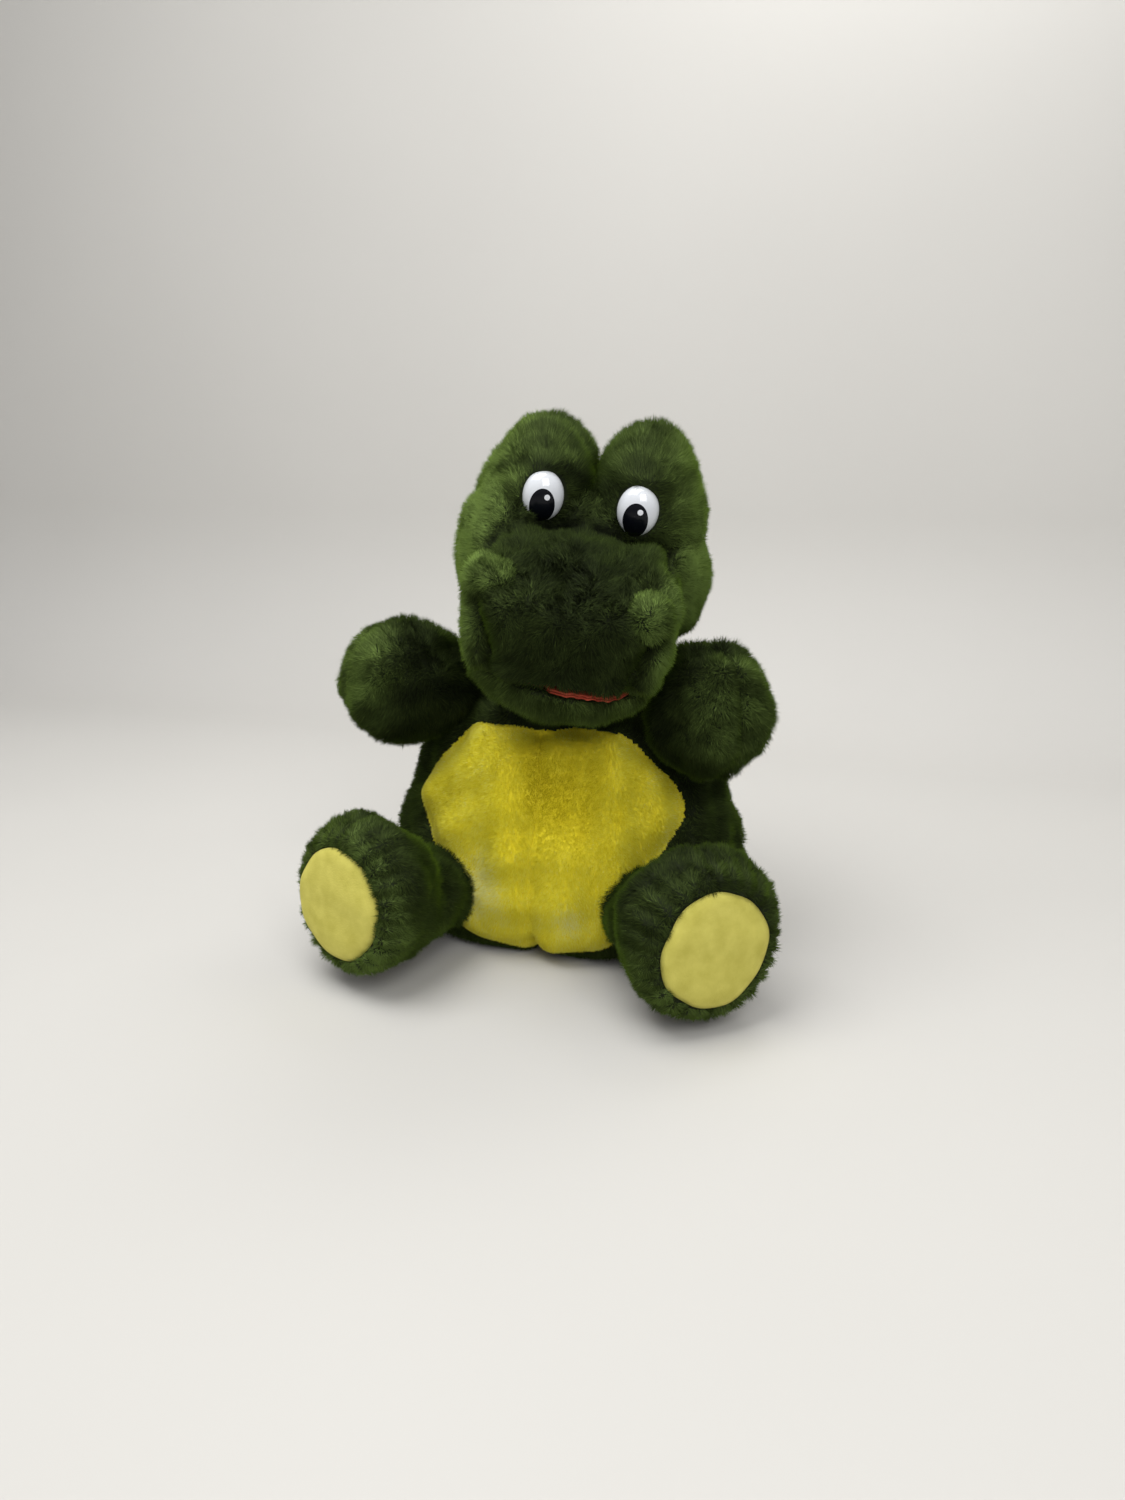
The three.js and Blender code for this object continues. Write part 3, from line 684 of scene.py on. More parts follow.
def build_head():
    whole = sewn("head", head_field, (-80, -135, -30), (80, 72, 115), CELL,
                 lambda p: (p[:, 2] < 20) | (head_creases(p)[1] > 0.7), 3,
                 lambda p: 0.8 * waves(p, 30, 11)[:, 0] * step(p[:, 2], 17, 24) - head_creases(p)[0], HEAD)
    names = ("muzzle_plush", "cheek_plush_left", "cheek_plush_right", "head_back_plush")
    found = panels(whole, HEAD, head_panel, names)
    stands_for = {
        "muzzle_plush": ("muzzle_panel", "crown_fill_left", "crown_fill_right", "finger_pocket"),
        "cheek_plush_left": ("cheek_panel_left", "cheek_fill_left"),
        "cheek_plush_right": ("cheek_panel_right", "cheek_fill_right"),
        "head_back_plush": ("head_back_panel", "nape_fill_left", "nape_fill_right"),
    }
    for number, name in enumerate(names):
        for each in covered(found[name], "green", 5.8, 3.3, head_comb, 100 + 10 * number, stands_for[name],
                            0.75, PLUSH, lean=0.62, style=head_style, local=HEAD, tousle=0.85):
            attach(each, "head")


def brow(p, side):
    """The ridge that overhangs an eye."""
    over = bump(p[:, 2] - EYE["z"] - EYE["high"] - 2, 5.5) * bump(side * p[:, 0] - EYE["x"], 13)
    return over * (p[:, 1] < -15)


def build_mound(name, side):
    at, semi = MOUND
    taller = 1 + MOUND_TALLER[name] / semi[2]

    def field(p):
        x, z = side * p[:, 0], p[:, 2] - at[2]
        flare = 0.2 * np.maximum(24 - z, 0) * step(x, 18, 46)
        q = np.stack([x - flare, p[:, 1], at[2] + np.where(z > 0, z / taller, z)], 1)
        return carved(ellipsoid(q, at, semi), x - 0.6, 4)

    skin = sewn(f"mound_plush_{name}", field, (-70, -62, 40), (70, 48, 135), MIDDLE_CELL,
                lambda p: p[:, 2] < 72, 2,
                lambda p: 3.2 * brow(p, side) + 0.9 * waves(p, 24, 31 + side)[:, 0], HEAD)

    def style(p):
        x, z = side * p[:, 0] - EYE["x"], p[:, 2] - EYE["z"]
        socket = (x / (EYE["wide"] + 0.5)) ** 2 + (z / (EYE["high"] + 0.5)) ** 2
        facing = p[:, 1] < -20
        share = np.where(facing & (socket < 1), 0, 1.0)
        share = share * (1 - 0.4 * np.exp(-(np.maximum(socket - 1, 0) / 0.8)) * facing)
        share = np.where(p[:, 2] < 62, 0, share)
        # The paleness paints light and shade: the outer flanks paler as painted light, the valley between
        # the mounds and the front below the brow darker as painted shade.
        valley = bump(p[:, 0], 6)
        lit_flank = step(side * p[:, 0], 26, 54)
        pale = 0.48 + 0.34 * lit_flank - 0.45 * valley - 0.2 * facing * (z < 16) * (1 - lit_flank)
        return share * (1 - 0.25 * valley), pale

    def comb(p):
        lie = np.zeros_like(p)
        lie[:, 2] = np.where(p[:, 1] < -20, 0.7, 0.2)
        lie[:, 1] = 0.7
        lie[:, 0] = 0.3 * side
        return lie

    nodes = (f"eye_mound_{name}", f"mound_fill_{name}")
    for each in covered(skin, "green", 6.6, 2.8, comb, 200 + 5 * side, nodes, 0.8,
                        lean=0.6, style=style, local=HEAD):
        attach(each, "head")


def build_nostril(name, side):
    points, quads = net(lambda p: ellipsoid(p, *NOSTRILS[name]), (-62, -128, 36), (62, -78, 80), FINE_CELL)
    skin = made(f"nostril_plush_{name}", points, quads, HEAD)

    def style(p):
        # The nostril pile is given a pale tone all over, painted light on the bumps.
        return np.where(head_field(p) < -1, 0, 1.0), np.full(len(p), 0.78)

    for each in covered(skin, "green", 4.6, 3.4, lambda p: (0.4 * side, -0.5, 0.3), 300 + 5 * side,
                        (f"nostril_{name}",), 0.9, style=style, local=HEAD):
        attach(each, "head")


# ---- the eyes ----

def eye_frame(side):
    (cx, cy, cz), (rx, ry, rz) = MOUND
    rest = 1 - ((EYE["x"] - cx) / rx) ** 2 - ((EYE["z"] - cz) / rz) ** 2
    at = (side * EYE["x"], cy - ry * math.sqrt(rest) + 1.2, EYE["z"])
    aside = Matrix.Rotation(math.radians(-side * EYE["toe_in"]), 3, "Z")
    local = np.array(aside @ Matrix.Rotation(math.radians(-3), 3, "X"))
    origin = to_row(np.array([at], float), HEAD)[0]
    return np.concatenate([HEAD[:, :3] @ local, origin[:, None]], 1)


def dome(name, at, semi, proud, local, rings=16, around=40):
    """A disc of that outline laid on the eye's dome, and for the dome itself its rim turned in."""
    points = [(at[0], at[1])]
    for ring in range(1, rings + 1):
        share = math.sin(ring / rings * math.pi / 2)
        for k in range(around):
            angle = 2 * math.pi * k / around
            points.append((at[0] + semi[0] * share * math.cos(angle),
                           at[1] + semi[1] * share * math.sin(angle)))
    flat = np.array(points)
    far = np.sqrt((flat[:, 0] / EYE["wide"]) ** 2 + (flat[:, 1] / EYE["high"]) ** 2)
    limit = 0.985 if proud else 1.0
    flat *= np.minimum(1, limit / np.maximum(far, 1e-9))[:, None]
    far = np.minimum(far, limit)
    depth = EYE["sunk"] - (EYE["rise"] + proud) * np.sqrt(np.maximum(0, 1 - far ** 2))
    solid = np.stack([flat[:, 0], depth - 0.5 * proud, flat[:, 1]], 1)
    tris = [(0, 1 + k, 1 + (k + 1) % around) for k in range(around)]
    for ring in range(1, rings):
        a, b = 1 + (ring - 1) * around, 1 + ring * around
        for k in range(around):
            n = (k + 1) % around
            tris += [(a + k, b + k, b + n), (a + k, b + n, a + n)]
    if not proud:
        back = len(solid)
        solid = np.concatenate([solid, [(0, EYE["sunk"] + 1.5, 0)]])
        last = 1 + (rings - 1) * around
        tris += [(last + k, back, last + (k + 1) % around) for k in range(around)]
    return made(name, solid, np.array(tris), local)


def build_eye(name, side):
    local = eye_frame(side)
    white = dressed(dome(f"eye_dome_{name}", (0, 0), (EYE["wide"], EYE["high"]), 0, local), "white")
    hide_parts(f"eye_{name}")
    pupil = dressed(dome(f"eye_pupil_{name}", PUPIL["at"], PUPIL["semi"], PUPIL["proud"], local), "pupil")
    glint = dressed(dome(f"eye_glint_{name}", GLINT["at"], GLINT["semi"], GLINT["proud"], local), "glint")
    for each in (white, pupil, glint):
        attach(each, "head")


# ---- the jaw and the mouth ----

def peeks(x):
    """Where along the front the lining shows between the lips."""
    return step(x, -10, 0) * (1 - step(x, 32, 40))


def jaw_field(p):
    bowl = ellipsoid(p, *JAW)
    lip = step(bowl, -8, -4) * (1 - peeks(p[:, 0]) * step(-p[:, 1], 88, 96))
    bowl = carved(bowl, -(p[:, 2] - JAW_TOP + 2.4 * (1 - lip)), 3)
    bowl = carved(bowl, -(p[:, 1] + 32), 3)
    return carved(bowl, np.linalg.norm(p - np.array([0, 0, -4.0]), axis=1) - NECK_BALL - 2, 3)


def build_jaw():
    skin = sewn("jaw_plush", jaw_field, (-60, -130, -25), (60, -20, 30), MIDDLE_CELL,
                lambda p: (p[:, 2] > 9) | (p[:, 1] > -45), 2.5,
                lambda p: 0.7 * waves(p, 26, 41)[:, 0], HEAD)

    def style(p):
        inside = (p[:, 2] > JAW_TOP - 3.6) & (ellipsoid(p, *JAW) < -4)
        share = np.where(inside | (p[:, 1] > -38), 0, 1.0)
        lip = bump(p[:, 2] - JAW_TOP, 4)
        # Painted shade: the pile is darker along the middle of the jaw, so its sides read lighter, as
        # painted light.
        return share * (1 - 0.6 * lip), 0.66 - 0.1 * bump(p[:, 0], 20)

    for each in covered(skin, "green", 6.5, 3.0, lambda p: (0, -0.2, -1), 400,
                        ("jaw_skin", "jaw_fill", "thumb_pocket"), 0.7, style=style, local=HEAD):
        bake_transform(each)


def mouth_outline(count=160):
    """The lining's rim: x against y in the mouth plane, from the right corner to the left."""
    half = JAW[1][0] - 4.5
    angle = np.linspace(0, math.pi, count)
    x = -half * np.sign(np.cos(angle)) * np.abs(np.cos(angle)) ** 0.62
    y = HINGE_Y - (LIP_FRONT + HINGE_Y) * np.sin(angle) ** 0.72
    ragged = 0.7 * np.sin(x / 1.9) + 0.8 * np.sin(x / 0.83 + 1)
    return x, y - (8.5 + ragged) * peeks(x) * (y < -90)


def fold_strip(high, low, rows=8):
    """The rows of the felt's fold, from the upper leaf round to the lower."""
    x = np.linspace(-JAW[1][0] + 4, JAW[1][0] - 4, 30)
    strip = []
    for row in range(rows + 1):
        angle = math.pi * row / rows
        y = HINGE_Y + 2.2 * math.sin(angle)
        z = (high + low) / 2 + (high - low) / 2 * math.cos(angle)
        strip.append(np.stack([x, np.full_like(x, y), np.full_like(x, z)], 1))
    return np.stack(strip)


def build_mouth():
    """The felt that lines the mouth: two leaves and the fold between them at the hinge."""
    x, y = mouth_outline()
    sheets = []
    ripple = 0.7 * np.sin(x / 6) + 0.4 * np.sin(x / 2.3 + 1)
    for level in FELT_LEVELS:
        leaf = []
        for share in np.arange(15) / 14:
            leaf.append(np.stack([x * share, HINGE_Y + (y - HINGE_Y) * share,
                                  level + (0.5 * ripple - 1.3) * share ** 4], 1))
        sheets.append(np.stack(leaf))
    fold = fold_strip(*FELT_LEVELS)
    names = (("mouth_felt_upper", "upper_mouth_lining", "head"),
             ("mouth_felt_lower", "lower_mouth_lining", "jaw"))
    for (name, node, body), leaf in zip(names, sheets):
        felt = dressed(grid(name, leaf, HEAD), "felt")
        thickened(felt, 1.0, 0)
        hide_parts(node)
        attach(felt, body)
    felt = dressed(grid("mouth_felt_fold", fold, HEAD), "felt")
    thickened(felt, 1.0, 0)
    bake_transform(felt)


def build_boards():
    """The stiff boards behind the mouth's lining, a little smaller than it all round."""
    x, y = mouth_outline()
    boards = (("board_upper", "upper_mouth_board", 19.2, "head"),
              ("board_lower", "lower_mouth_board", 9.2, "jaw"))
    for name, node, level, body in boards:
        rows = [np.stack([BOARD_SHARE * x * share, HINGE_Y - 3 + BOARD_SHARE * (y - HINGE_Y) * share,
                          np.full_like(x, level)], 1) for share in np.linspace(0, 1, 6)]
        board = dressed(grid(name, np.stack(rows), HEAD), "board")
        thickened(board, 1.8, 0)
        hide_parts(node)
        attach(board, body)


# ---- the neck: three bands of plush, from the body up into the head ----

def band(name, low, high, local, seed):
    """A ring of neck, gathered in small folds, from the height low to the height high."""
    around, count = 72, 8
    angle = np.linspace(0, 2 * math.pi, around, endpoint=False)
    rows = []
    for share in np.linspace(0, 1, count):
        z = low + (high - low) * share
        radius = 43.5 - 3 * step(z, 6, 26) + 0.8 * np.sin(angle * 17 + seed)
        rows.append(np.stack([radius * np.cos(angle), radius * np.sin(angle), z], 1))
    return grid(name, np.stack(rows), local, ring=True)


def build_neck():
    upright = ROW.copy()
    upright[:, 3] = HEAD[:, 3]
    angle = np.linspace(0, 2 * math.pi, 72, endpoint=False)
    # the top band reaches up into the head behind the mouth
    into_head = 2 + 24 * step(np.sin(angle), -0.65, -0.1)
    bands = (
        ("neck_plush_low", "body", "neck", -24, -14, ("neck_skin",)),
        ("neck_plush_middle", "neck", "neck_cuff", -14, -6, ()),
        ("neck_plush_top", "neck_cuff", "head", -6, 4, ("neck_lining",)),
    )
    for number, (name, lower, upper, low, high, nodes) in enumerate(bands):
        rim = into_head if upper == "head" else np.full_like(angle, high)
        skin = dressed(band(name, np.full_like(angle, low), rim, upright, number), "green_skin")
        fur = pile(skin, "green", 4.5, 2.2, lambda p: (0, 0, -1), 500 + 10 * number)
        thickened(skin, PLUSH)
        if nodes:
            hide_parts(*nodes)
        for each in (skin, *fur):
            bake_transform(each)


# ---- the body ----

def lathe_distance(p):
    """Distance from the body's turned profile, which is flattened front to back."""
    radius, height = zip(*BODY_PROFILE)
    across = np.sqrt(p[:, 0] ** 2 + (p[:, 1] / BODY_DEPTH) ** 2)
    return (across - np.interp(p[:, 2], height, radius)) * 0.8


def ellipse_bar(u, v, ru, rv):
    """Distance from an endless bar with an ellipse for its section."""
    near = np.sqrt((u / ru) ** 2 + (v / rv) ** 2)
    return (near - 1) * min(ru, rv)


def hand_room(p):
    """The room for the hand: a channel up the middle, and the opening to it from behind."""
    up = ellipse_bar(p[:, 0], p[:, 1] - CHANNEL["y"], CHANNEL["rx"], CHANNEL["ry"])
    up = np.maximum(up, CHANNEL["bottom"] - p[:, 2])
    inward = ellipse_bar(p[:, 0], p[:, 2] - PORT["z"], PORT["rx"], PORT["rz"])
    return np.minimum(up, np.maximum(inward, CHANNEL["y"] - p[:, 1]))


def chest(p):
    """The hollow under the jaw."""
    return ellipsoid(to_local(p, HEAD), (0, -66, 8), (54, 58, 34))


def body_outside(p):
    """The stuffed body without the room for the hand."""
    sides = lathe_distance(p)
    collar = np.hypot(p[:, 0], p[:, 1] - COLLAR["y"]) - COLLAR["radius"]
    whole = joined(sides, collar, 8)
    whole = carved(whole, -(p[:, 2] - COLLAR["top"]), 6)
    whole = carved(whole, p[:, 2] - 0.6, 4)
    return carved(whole, chest(p), 8)


def body_field(p):
    return carved(body_outside(p), hand_room(p), 1.5)


def smooth_outline(corners, steps=8):
    """A rounded closed outline through corners, mirrored across x = 0."""
    right = np.array(corners, float)
    left = right[1:-1][::-1] * (-1, 1)
    loop = np.concatenate([right, left])
    out = []
    for i in range(len(loop)):
        a, b, c, d = (loop[(i + k) % len(loop)] for k in (-1, 0, 1, 2))
        for t in np.arange(steps) / steps:
            out.append(0.5 * (2 * b + (c - a) * t + (2 * a - 5 * b + 4 * c - d) * t ** 2
                              + (3 * b - a - 3 * c + d) * t ** 3))
    return np.array(out)


BELLY = smooth_outline(BELLY_OUTLINE)


def belly_distance(p):
    """Distance from the belly patch's edge, negative on the patch."""
    flat = np.stack([p[:, 0], p[:, 2]], 1)
    best, inside = np.full(len(p), 1e9), np.zeros(len(p), bool)
    for a, b in zip(BELLY, np.roll(BELLY, -1, 0)):
        along = b - a
        t = np.clip((flat - a) @ along / max(along @ along, 1e-9), 0, 1)
        best = np.minimum(best, np.linalg.norm(flat - a - t[:, None] * along, axis=1))
        crosses = (a[1] > flat[:, 1]) != (b[1] > flat[:, 1])
        rise = b[1] - a[1] if abs(b[1] - a[1]) > 1e-9 else 1e-9
        left_of = flat[:, 0] < a[0] + (flat[:, 1] - a[1]) / rise * along[0]
        inside ^= crosses & left_of
    return np.where(p[:, 1] < 0, np.where(inside, -best, best), 60)


def body_shift(p):
    """How far the stuffed body's surface stands out from its plain shape."""
    edge = belly_distance(p)
    on_belly = step(-edge, 0, 16)
    by = 3.0 * on_belly - 2.0 * bump(edge, 5)
    x, z = p[:, 0], p[:, 2]
    front = p[:, 1] < 0
    seam = bump(x, 5) * step(-edge, -2, 4)
    notch = bump(x, 5) * bump(z - 6, 10) * front
    by -= 2.4 * seam + 5 * notch
    dent = bump(np.hypot(x - DENT["at"][0], z - DENT["at"][1]), DENT["radius"]) * front
    low_dent = bump(np.hypot(x + 24, (z - 44) * 0.8), 15) * front
    fold = bump(near_path(p * (1, 0, 1), ((-26, 0, 66), (-38, 0, 40), (-30, 0, 22))), 6) * front
    by -= DENT["depth"] * dent + 2.2 * low_dent + 1.6 * fold
    back_seam = bump(x, 3) * (p[:, 1] > 20) * step(np.abs(z - PORT["z"]), 38, 44)
    outside = hand_room(p) > 3
    rumple = 1.3 * waves(p, 36, 51)[:, 0]
    return np.where(outside, by - 1.8 * back_seam + rumple * step(z, 2, 14), 0.9 * waves(p, 20, 52)[:, 0])


def body_held(p):
    """Where the body's skin is sewn down, or rests on something, and can't swell."""
    sewn_down = (np.abs(belly_distance(p)) < 3) | (np.abs(p[:, 0]) < 2.2)
    return sewn_down | (p[:, 2] < 6) | (hand_room(p) < 4)


def body_panel(p):
    """0 belly left, 1 belly right, 2 back left, 3 back right, 4 base, 5 sleeve."""
    right = p[:, 0] < 0
    belly = (belly_distance(p) < 0) & (p[:, 2] > 1.5)
    which = np.where(belly, np.where(right, 1, 0), np.where(right, 3, 2))
    which = np.where((p[:, 2] < 1.5) & (lathe_distance(p) < -2), 4, which)
    lined = (hand_room(p) < 2.5) & (body_outside(p) < -1.5)
    return np.where(lined, 5, which)


def body_comb(p):
    lie = np.zeros_like(p)
    lie[:, 2] = -1
    lie[:, 0] = np.sign(p[:, 0]) * 0.15
    return lie


def belly_style(p):
    edge = belly_distance(p)
    share = 1 - 0.35 * bump(edge, 3) - 0.3 * bump(p[:, 0], 1.8)
    dent = bump(np.hypot(p[:, 0] - DENT["at"][0], p[:, 2] - DENT["at"][1]), 22)
    crushed = bump(np.hypot(p[:, 0] + 30, (p[:, 2] - 44) * 0.8), 16)
    crushed = np.maximum(crushed, 0.8 * bump(np.hypot(p[:, 0] - 24, p[:, 2] - 30), 11))
    rim = bump(edge, 7)
    seam = bump(p[:, 0], 7) * step(p[:, 2], 70, 110)
    # Painted shade: the pile is darker in the dent and along the upper seam. The crushed patches are
    # paler, as worn pile, and the pile is a little paler along the patch's edge.
    pale = 0.5 - 0.32 * dent + 0.5 * crushed + 0.12 * rim - 0.2 * seam
    return np.where(edge > 0.3, 0, share), pale


def back_style(p):
    edge = belly_distance(p)
    rim = np.abs(hand_room(p)) < 3.5
    share = np.where((edge < 0.3) | rim, 0, 1 - 0.3 * bump(edge, 4))
    low = step(p[:, 2], 0, 10)
    return share * (0.45 + 0.55 * low), np.full(len(p), 0.35)


def build_body():
    whole = sewn("torso", body_field, (-124, -96, -8), (124, 96, 172), CELL, body_held, 3, body_shift)
    names = ("belly_plush_left", "belly_plush_right", "back_plush_left", "back_plush_right",
             "base_plush", "sleeve_cloth")
    found = panels(whole, ROW, body_panel, names)
    stands_for = {
        "belly_plush_left": ("belly_panel_left", "side_fill_left"),
        "belly_plush_right": ("belly_panel_right", "side_fill_right"),
        "back_plush_left": ("back_panel_left", "shoulder_fill_left"),
        "back_plush_right": ("back_panel_right", "shoulder_fill_right"),
        "base_plush": ("base_panel", "seat_fill_left", "seat_fill_right"),
        "sleeve_cloth": ("hand_sleeve",),
    }
    for number, name in enumerate(names):
        skin = found[name]
        kind = "yellow" if "belly" in name else "green"
        dressed(skin, "lining" if name == "sleeve_cloth" else f"{kind}_skin")
        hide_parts(*stands_for[name])
        if number < 2:
            fur = pile(skin, kind, 2.2, 4.2, body_comb, 600 + 10 * number, lean=0.5, width=0.5,
                       style=belly_style, tousle=0.3, patchy=0.03)
        elif number < 4:
            fur = pile(skin, kind, 5.5, 1.9, body_comb, 600 + 10 * number, width=0.65, style=back_style)
        else:
            fur = []
        thickened(skin, 0.9)
        for each in (skin, *fur):
            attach(each, "body")


def build_hem():
    """The bound edge of the hand opening, a soft roll with its stitches pulled in."""
    around, turns = 120, 12
    angle = np.linspace(0, 2 * math.pi, around, endpoint=False)
    x = (PORT["rx"] + 1.2) * np.cos(angle)
    z = PORT["z"] + (PORT["rz"] + 1.2) * np.sin(angle)
    radius, height = zip(*BODY_PROFILE)
    y = BODY_DEPTH * np.sqrt(np.interp(z, height, radius) ** 2 - x ** 2)
    centre = np.stack([x, y + 0.5, z], 1)
    outward = unit(centre - (0, y.mean(), PORT["z"]))
    outward[:, 1] = 0
    outward = unit(outward)
    rows = []
    for turn in range(turns + 1):
        a = 2 * math.pi * turn / turns
        thick = 3.1 + 0.35 * np.sin(angle * 46) + 0.3 * np.sin(angle * 5 + 1)
        across = outward * (thick * math.cos(a))[:, None]
        behind = np.array([0, 1, 0]) * (1.25 * thick * math.sin(a))[:, None]
        rows.append(centre + across + behind)
    hem = dressed(grid("hem_cloth", np.stack(rows), ROW, ring=True), "lining")
    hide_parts("opening_hem")
    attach(hem, "body")


# ---- the limbs ----

def arm_field(p):
    root = np.linalg.norm(p, axis=1) - ARM["root"]
    paw = ellipsoid(p, *ARM["paw"])
    middle = ellipsoid(p, (0, -20, 0), (24.5, 26, 25.5))
    return joined(joined(root, paw, 12), middle, 12)


def limb_creases(p):
    """Closeness to the seam that runs round the limb in its own upright plane."""
    return bump(p[:, 0], 2.6) * step(-p[:, 1], 14, 26)


def build_arm(name, side):
    local = ARMS[name]
    whole = sewn(f"arm_{name}", arm_field, (-44, -84, -46), (44, 34, 46), CELL,
                 lambda p: (p[:, 1] > 0) | (np.abs(p[:, 0]) < 1.5), 2.5,
                 lambda p: -3.2 * limb_creases(p) + 1.3 * waves(p, 26, 61 + side)[:, 0], local)
    names = (f"arm_front_plush_{name}", f"arm_back_plush_{name}")
    stands_for = ((f"arm_front_panel_{name}", f"arm_fill_{name}"), (f"arm_back_panel_{name}",))
    found = panels(whole, local, lambda p: (side * p[:, 0] > 0).astype(int), names)

    def style(p):
        crease = limb_creases(p)
        hidden = body_outside(to_row(p, local)) < -2
        # The paleness paints light and shade: darker near the body, as a painted shadow under the cheek,
        # and in the seam; paler towards the paw as painted light; the left arm a little darker than the
        # right.
        pale = 0.16 - 0.06 * side + 0.57 * step(-p[:, 1], 38, 66) - 0.3 * crease
        return np.where(hidden, 0, 1 - 0.35 * crease), pale

    for number, part in enumerate(names):
        for each in covered(found[part], "green", 6.2, 3.0, lambda p: (0, -0.5, -0.9),
                            700 + 20 * number + side, stands_for[number], 0.7, PLUSH,
                            lean=0.65, style=style, local=local, tousle=0.85):
            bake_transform(each)


def leg_field(p, name):
    along, radius = zip(*LEG_PROFILE)
    across = np.hypot(p[:, 0], p[:, 2] + 7 * step(p[:, 1], -66, -14))
    instep = INSTEP[name] * bump(p[:, 1] + 58, 17) * step(p[:, 2], -8, 26)
    sides = (across - np.interp(p[:, 1], along, radius) - instep) * 0.85
    front = SOLE["at"] - 0.5 + SOLE["turn"][name] * p[:, 0]
    caps = np.maximum(front - p[:, 1], p[:, 1] - 30)
    return carved(sides, -caps, 2)


def sole_rim(angle):
    """The sole's radius, a little uneven, as it is sewn."""
    return SOLE["radius"] + 0.6 * np.sin(4 * angle + 0.6) + 0.25 * np.sin(9 * angle)


def leg_shift(p):
    """How far the leg's surface stands out from its plain shape: puckers, seams and rumples."""
    angle = np.arctan2(p[:, 2], p[:, 0])
    front = step(-p[:, 1], 60, 80)
    puckers = 0.9 * np.sin(angle * 27 + 1.3 * np.sin(angle * 4)) * bump(p[:, 1] + 76, 9)
    seam = bump(np.hypot(p[:, 0], p[:, 2]) - SOLE["radius"], 3) * step(-p[:, 1], 78, 82)
    side_seam = bump(p[:, 0], 2.6) * step(-p[:, 1], 20, 30) * (1 - front)
    return 1.5 * puckers - 2.4 * seam - 1.8 * side_seam + 1.1 * waves(p, 30, 71)[:, 0] * (1 - front)


def build_leg(name, side):
    local = LEGS[name]

    def held(p):
        front = SOLE["at"] + 4 + SOLE["turn"][name] * p[:, 0]
        return (p[:, 1] > 0) | (p[:, 1] < front) | (np.abs(p[:, 0]) < 1.5)

    whole = sewn(f"leg_{name}", lambda p: leg_field(p, name), (-52, -92, -52), (52, 38, 60), CELL,
                 held, 2.5, leg_shift, local)
    floor_level(whole)
    names = (f"leg_outer_plush_{name}", f"leg_inner_plush_{name}")
    stands_for = ((f"leg_outer_panel_{name}", f"leg_fill_{name}"), (f"leg_inner_panel_{name}",))
    found = panels(whole, local, lambda p: (side * p[:, 0] < 0).astype(int), names)

    def style(p):
        on_sole = (np.hypot(p[:, 0], p[:, 2]) < SOLE["radius"] + 1.2) & (p[:, 1] < -70)
        hidden = body_outside(to_row(p, local)) < -2
        share = np.where(on_sole | hidden, 0, 1.0)
        share = share * (1 + 0.25 * step(p[:, 1], -60, -30))
        low = step(-p[:, 2], -22, 18)
        # The paleness paints light and shade: darker on top of the foot and in the side seam as painted
        # shade, paler towards the sole and on the lower half as painted light; the left leg a little
        # darker than the right.
        pale = 0.15 - 0.08 * side + 0.35 * step(-p[:, 1], 52, 76) + 0.3 * low - 0.2 * bump(p[:, 0], 3)
        return share, pale

    for number, part in enumerate(names):
        for each in covered(found[part], "green", 4.2, 2.8, lambda p: (0, 1, -0.2),
                            800 + 20 * number + side, stands_for[number], 0.85, PLUSH,
                            lean=0.9, style=style, local=local):
            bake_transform(each)
    build_sole(name, local)


def build_sole(name, local):
    """The velour sole, a shallow dish that closes the foot."""
    rings, around = 14, 72
    angle = np.linspace(0, 2 * math.pi, around, endpoint=False)
    rows = []
    for ring in range(1, rings + 1):
        share = ring / rings
        radius = sole_rim(angle) * share
        depth = SOLE["at"] - 1.6 - SOLE["crown"] * (1 - share ** 2.5)
        x, z = radius * np.cos(angle), radius * np.sin(angle)
        depth = depth + SOLE["turn"][name] * x
        ripple = 0.3 * waves(np.stack([x, 0 * x, z], 1), 30, 81)[:, 0]
        rows.append(np.stack([x, depth + ripple + 2.2 * share ** 14, z], 1))
    sole = dressed(disc(f"sole_velour_{name}", np.stack(rows), local), "sole")
    thickened(sole, -2.0)
    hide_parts(f"foot_sole_{name}")
    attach(sole, f"{name}_leg")


# ---- the hard pieces that keep their CAD shape ----

def dress_cad():
    """The eye washers, stiff discs behind the plush."""
    for node in ("eye_washer_left", "eye_washer_right"):
        shape = frame["nodes"][node]
        shape.data.materials.clear()
        shape.data.materials.append(LOOKS["board"])


# ---- floor, light and camera ----

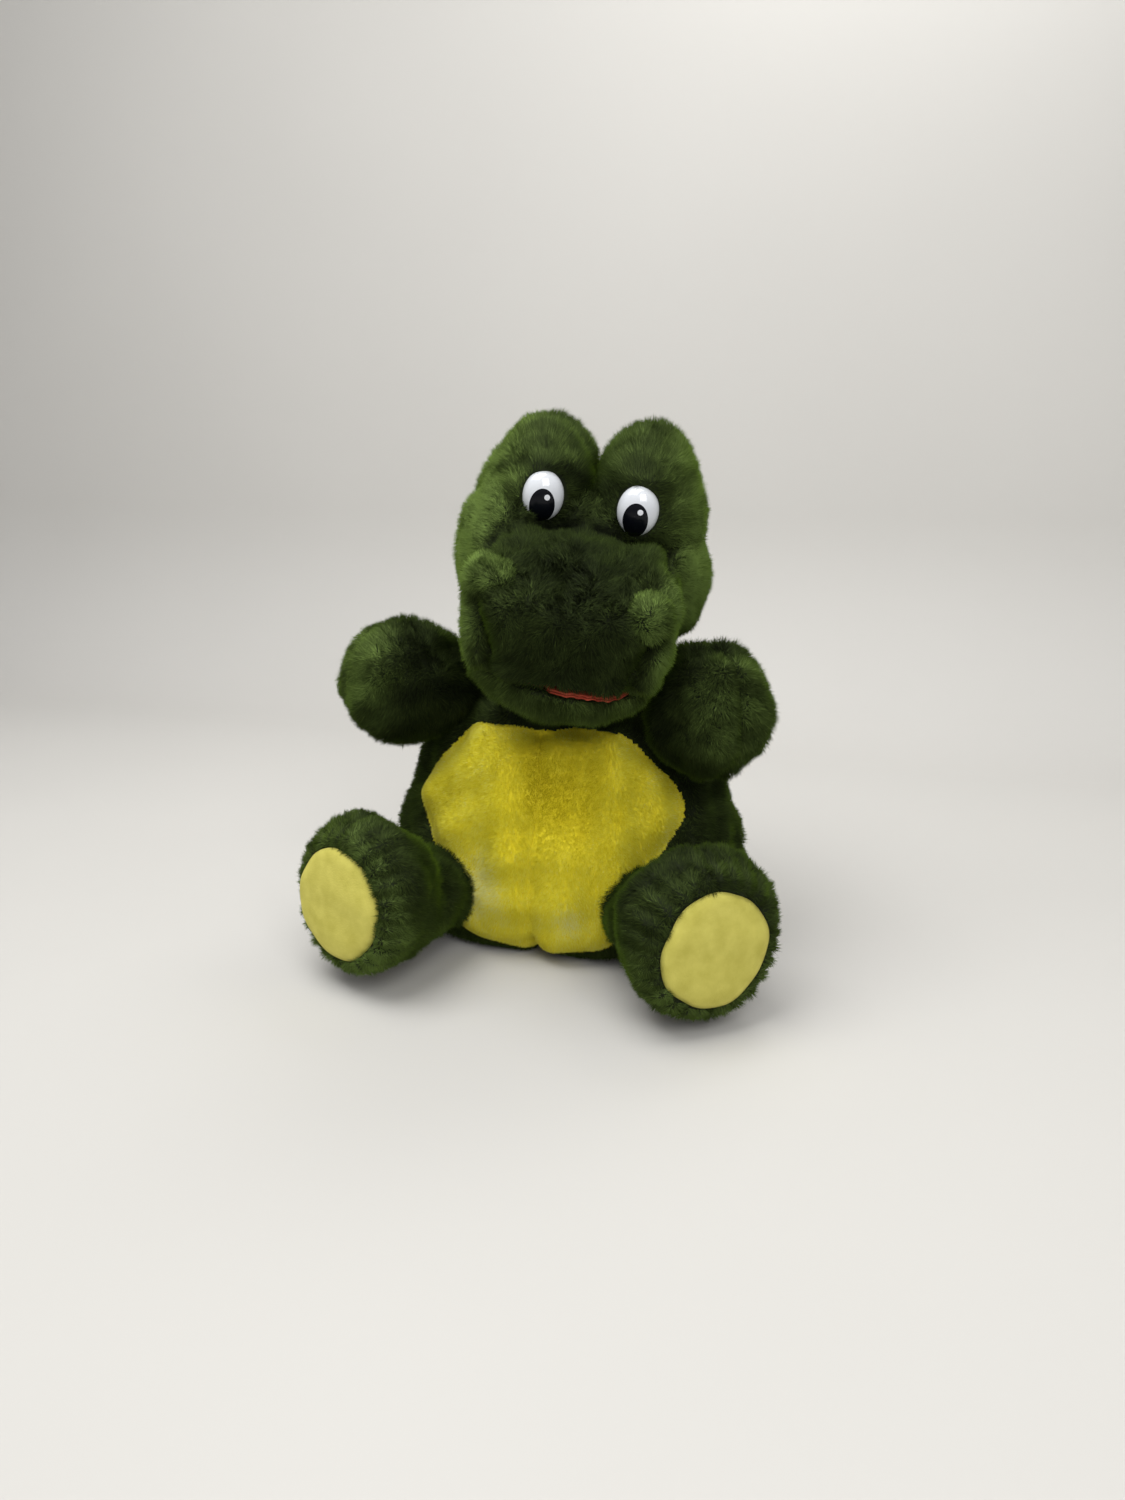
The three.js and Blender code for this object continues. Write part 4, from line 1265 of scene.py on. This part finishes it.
def build_stage():
    reach, tall, far, bend, turns = 9000, 2500, 420, 220, 10
    profile = [(-reach, 0), (far, 0)]
    profile += [(far + bend * math.sin(a), bend - bend * math.cos(a))
                for a in np.linspace(0, math.pi / 2, turns)[1:]]
    profile.append((far + bend, tall))
    rows = np.stack([np.stack([np.array([-reach, reach], float), np.full(2, y), np.full(2, z)], 1)
                     for y, z in profile])
    paper = grid("paper_backdrop", rows[:, ::-1], ROW)
    material, shader = blank("pale_paper", 0.8)
    mottled(material, shader, 2.5, srgb(195, 193, 188), srgb(202, 200, 195))
    paper.data.materials.append(material)


def lamp(name, place, aim, size, power, colour=(1, 1, 1)):
    light = bpy.data.lights.new(name, "AREA")
    light.energy, light.size, light.color = power, size, colour
    stand = bpy.data.objects.new(name, light)
    stand.location = place
    stand.rotation_euler = (Vector(aim) - Vector(place)).to_track_quat("-Z", "Y").to_euler()
    bpy.context.scene.collection.objects.link(stand)


def build_light():
    world = bpy.data.worlds.new("studio")
    world.use_nodes = True
    world.node_tree.nodes["Background"].inputs["Color"].default_value = (0.80, 0.80, 0.82, 1)
    world.node_tree.nodes["Background"].inputs["Strength"].default_value = 0.55
    bpy.context.scene.world = world
    lamp("overhead", (-0.25, -0.35, 1.25), (0, 0, 0.1), 0.9, 13)
    lamp("window", (0.5, -0.9, 0.9), (0, 0, 0.15), 0.6, 6)
    lamp("behind", (0.15, 0.55, 0.95), (0, 0, 0.12), 0.5, 3)
    bpy.context.scene.view_settings.view_transform = "Standard"


def build_camera():
    turn, dip, far = math.radians(17), math.radians(15), 645
    data = bpy.data.cameras.new("camera")
    data.lens, data.sensor_width = 26, 36
    camera = bpy.data.objects.new("camera", data)
    aside = -4
    camera.location = Vector((far * math.sin(turn) + aside * math.cos(turn),
                              -far * math.cos(turn) + aside * math.sin(turn), 282)) * MM
    look = Vector((-math.sin(turn) * math.cos(dip), math.cos(turn) * math.cos(dip), -math.sin(dip)))
    camera.rotation_euler = look.to_track_quat("-Z", "Y").to_euler()
    data.clip_start, data.clip_end = 0.01, 20
    bpy.context.scene.collection.objects.link(camera)
    bpy.context.scene.camera = camera


build_head()
build_jaw()
build_mouth()
build_boards()
build_neck()
build_body()
build_hem()
for each_name, each_side in SIDES:
    build_mound(each_name, each_side)
    build_nostril(each_name, each_side)
    build_eye(each_name, each_side)
    build_arm(each_name, each_side)
    build_leg(each_name, each_side)
dress_cad()
build_stage()
build_light()
build_camera()
